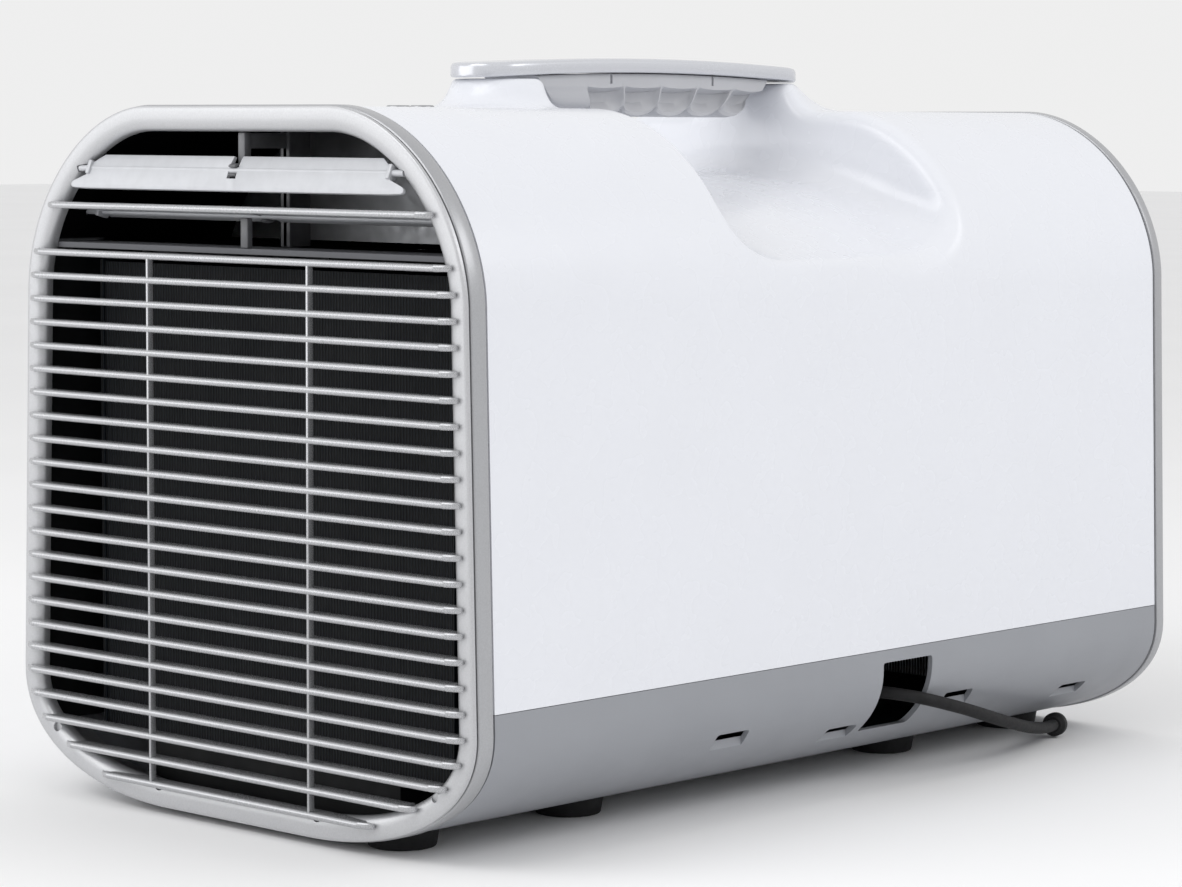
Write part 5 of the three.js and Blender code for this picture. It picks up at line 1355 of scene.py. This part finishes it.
@dataclass
class Inside:
    """The machine's hidden pieces, which keep their CAD shape and get their finish."""

    finishes: dict[str, Finish] = field(default_factory=lambda: {
        "evaporator_coil": SHADED_BLUE_FINS, "condenser_coil": BARE_FINS, "outlet_duct": DUCT,
        "drain_pan": DARK, "blower_scroll": DARK, "blower_wheel": DARK, "blower_motor": STEEL,
        "bulkhead": STEEL, "chassis_plate": STEEL, "compressor": BLACK_STEEL, "accumulator": BLACK_STEEL,
        "compressor_grommet_1": RUBBER, "compressor_grommet_2": RUBBER, "compressor_grommet_3": RUBBER,
        "suction_pipe": COPPER, "discharge_pipe": COPPER, "liquid_line": COPPER, "board_tray": DARK,
        "control_board": BOARD, "fan_shroud": DARK, "fan_motor": STEEL, "power_inlet": GLOSS_BLACK})

    def dress(self, nodes: dict[str, bpy.types.Object]) -> None:
        """Gives every shown CAD node its finish."""
        for name, node in nodes.items():
            if node.hide_render:
                continue
            finish = self.finishes[name]
            node.data.materials.clear()
            node.data.materials.append(finish.material())
            log.info("%s keeps its shape, in %s", name, finish.name)


# ------------------------------------------------------------------ studio


@dataclass
class Studio:
    """The camera, the floor and the soft light."""

    place: Point = (1163.4, -1263.8, 308.7)
    yaw: float = 43.074
    pitch: float = 5.088
    roll: float = 0.234
    lens: float = 107.68

    def camera(self) -> None:
        """Makes the camera."""
        yaw, pitch, roll = (math.radians(v) for v in (self.yaw, self.pitch, self.roll))
        ahead = Vector((-math.sin(yaw) * math.cos(pitch), math.cos(yaw) * math.cos(pitch),
                        -math.sin(pitch)))
        level = Vector((math.cos(yaw), math.sin(yaw), 0.0))
        up = level.cross(ahead)
        right = level * math.cos(roll) + up * math.sin(roll)
        up = right.cross(ahead)
        data = bpy.data.cameras.new("camera")
        data.lens, data.sensor_width = self.lens, 36.0
        data.clip_start, data.clip_end = 0.05, 60.0
        camera = bpy.data.objects.new("camera", data)
        turn = Matrix((right, up, -ahead)).transposed().to_4x4()
        camera.matrix_world = Matrix.Translation(Vector(self.place) * MM) @ turn
        bpy.context.scene.collection.objects.link(camera)
        bpy.context.scene.camera = camera

    def floor(self) -> None:
        """Makes the floor."""
        bm = new_bmesh()
        bmesh.ops.create_grid(bm, x_segments=1, y_segments=1, size=14000)
        floor = to_object("floor", bm)
        paint = Finish("floor_paint", (0.88, 0.88, 0.885), 0.9, mottle=0.01, mottle_size=400.0,
                       grain_depth=0.01)
        floor.data.materials.append(paint.material())

    def _softbox(self, name: str, place: Point, aim: Point, size: Flat, power: float) -> None:
        """One rectangular soft light, aimed at a point."""
        data = bpy.data.lights.new(name, "AREA")
        data.shape, data.size, data.size_y = "RECTANGLE", size[0], size[1]
        data.energy = power
        light = bpy.data.objects.new(name, data)
        light.location = place
        light.rotation_mode = "QUATERNION"
        light.rotation_quaternion = (Vector(aim) - Vector(place)).to_track_quat("-Z", "Y")
        bpy.context.scene.collection.objects.link(light)

    def light(self) -> None:
        """Makes the lights and the pale surroundings."""
        world = bpy.data.worlds.new("surroundings")
        world.use_nodes = True
        sky = world.node_tree.nodes["Background"]
        sky.inputs["Color"].default_value = (1.0, 1.0, 1.0, 1.0)
        sky.inputs["Strength"].default_value = 0.86
        bpy.context.scene.world = world
        bpy.context.scene.view_settings.view_transform = "Standard"
        self._softbox("side_light", (1.5, 0.5, 1.25), (0.12, 0.0, 0.24), (1.4, 0.7), 7.0)
        self._softbox("top_light", (-0.3, -1.3, 1.3), (0.0, -0.2, 0.3), (1.2, 0.7), 7.0)
        self._softbox("front_light", (-1.5, -1.8, 0.66), (0.0, -0.2, 0.25), (1.6, 1.1), 9.5)


# ------------------------------------------------------------------ whole object


def main() -> None:
    """Builds the studio and every part of the air conditioner in order."""
    logging.basicConfig(level=logging.INFO, format="%(name)s: %(message)s")
    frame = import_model()
    studio = Studio()
    studio.camera()
    DrainHose().build()
    Casing().build()
    Front().build()
    Handle().build()
    Feet().build()
    Rear().build()
    Controls().build()
    Inside().dress(frame["nodes"])
    studio.floor()
    studio.light()


if __name__ == "__main__":
    main()
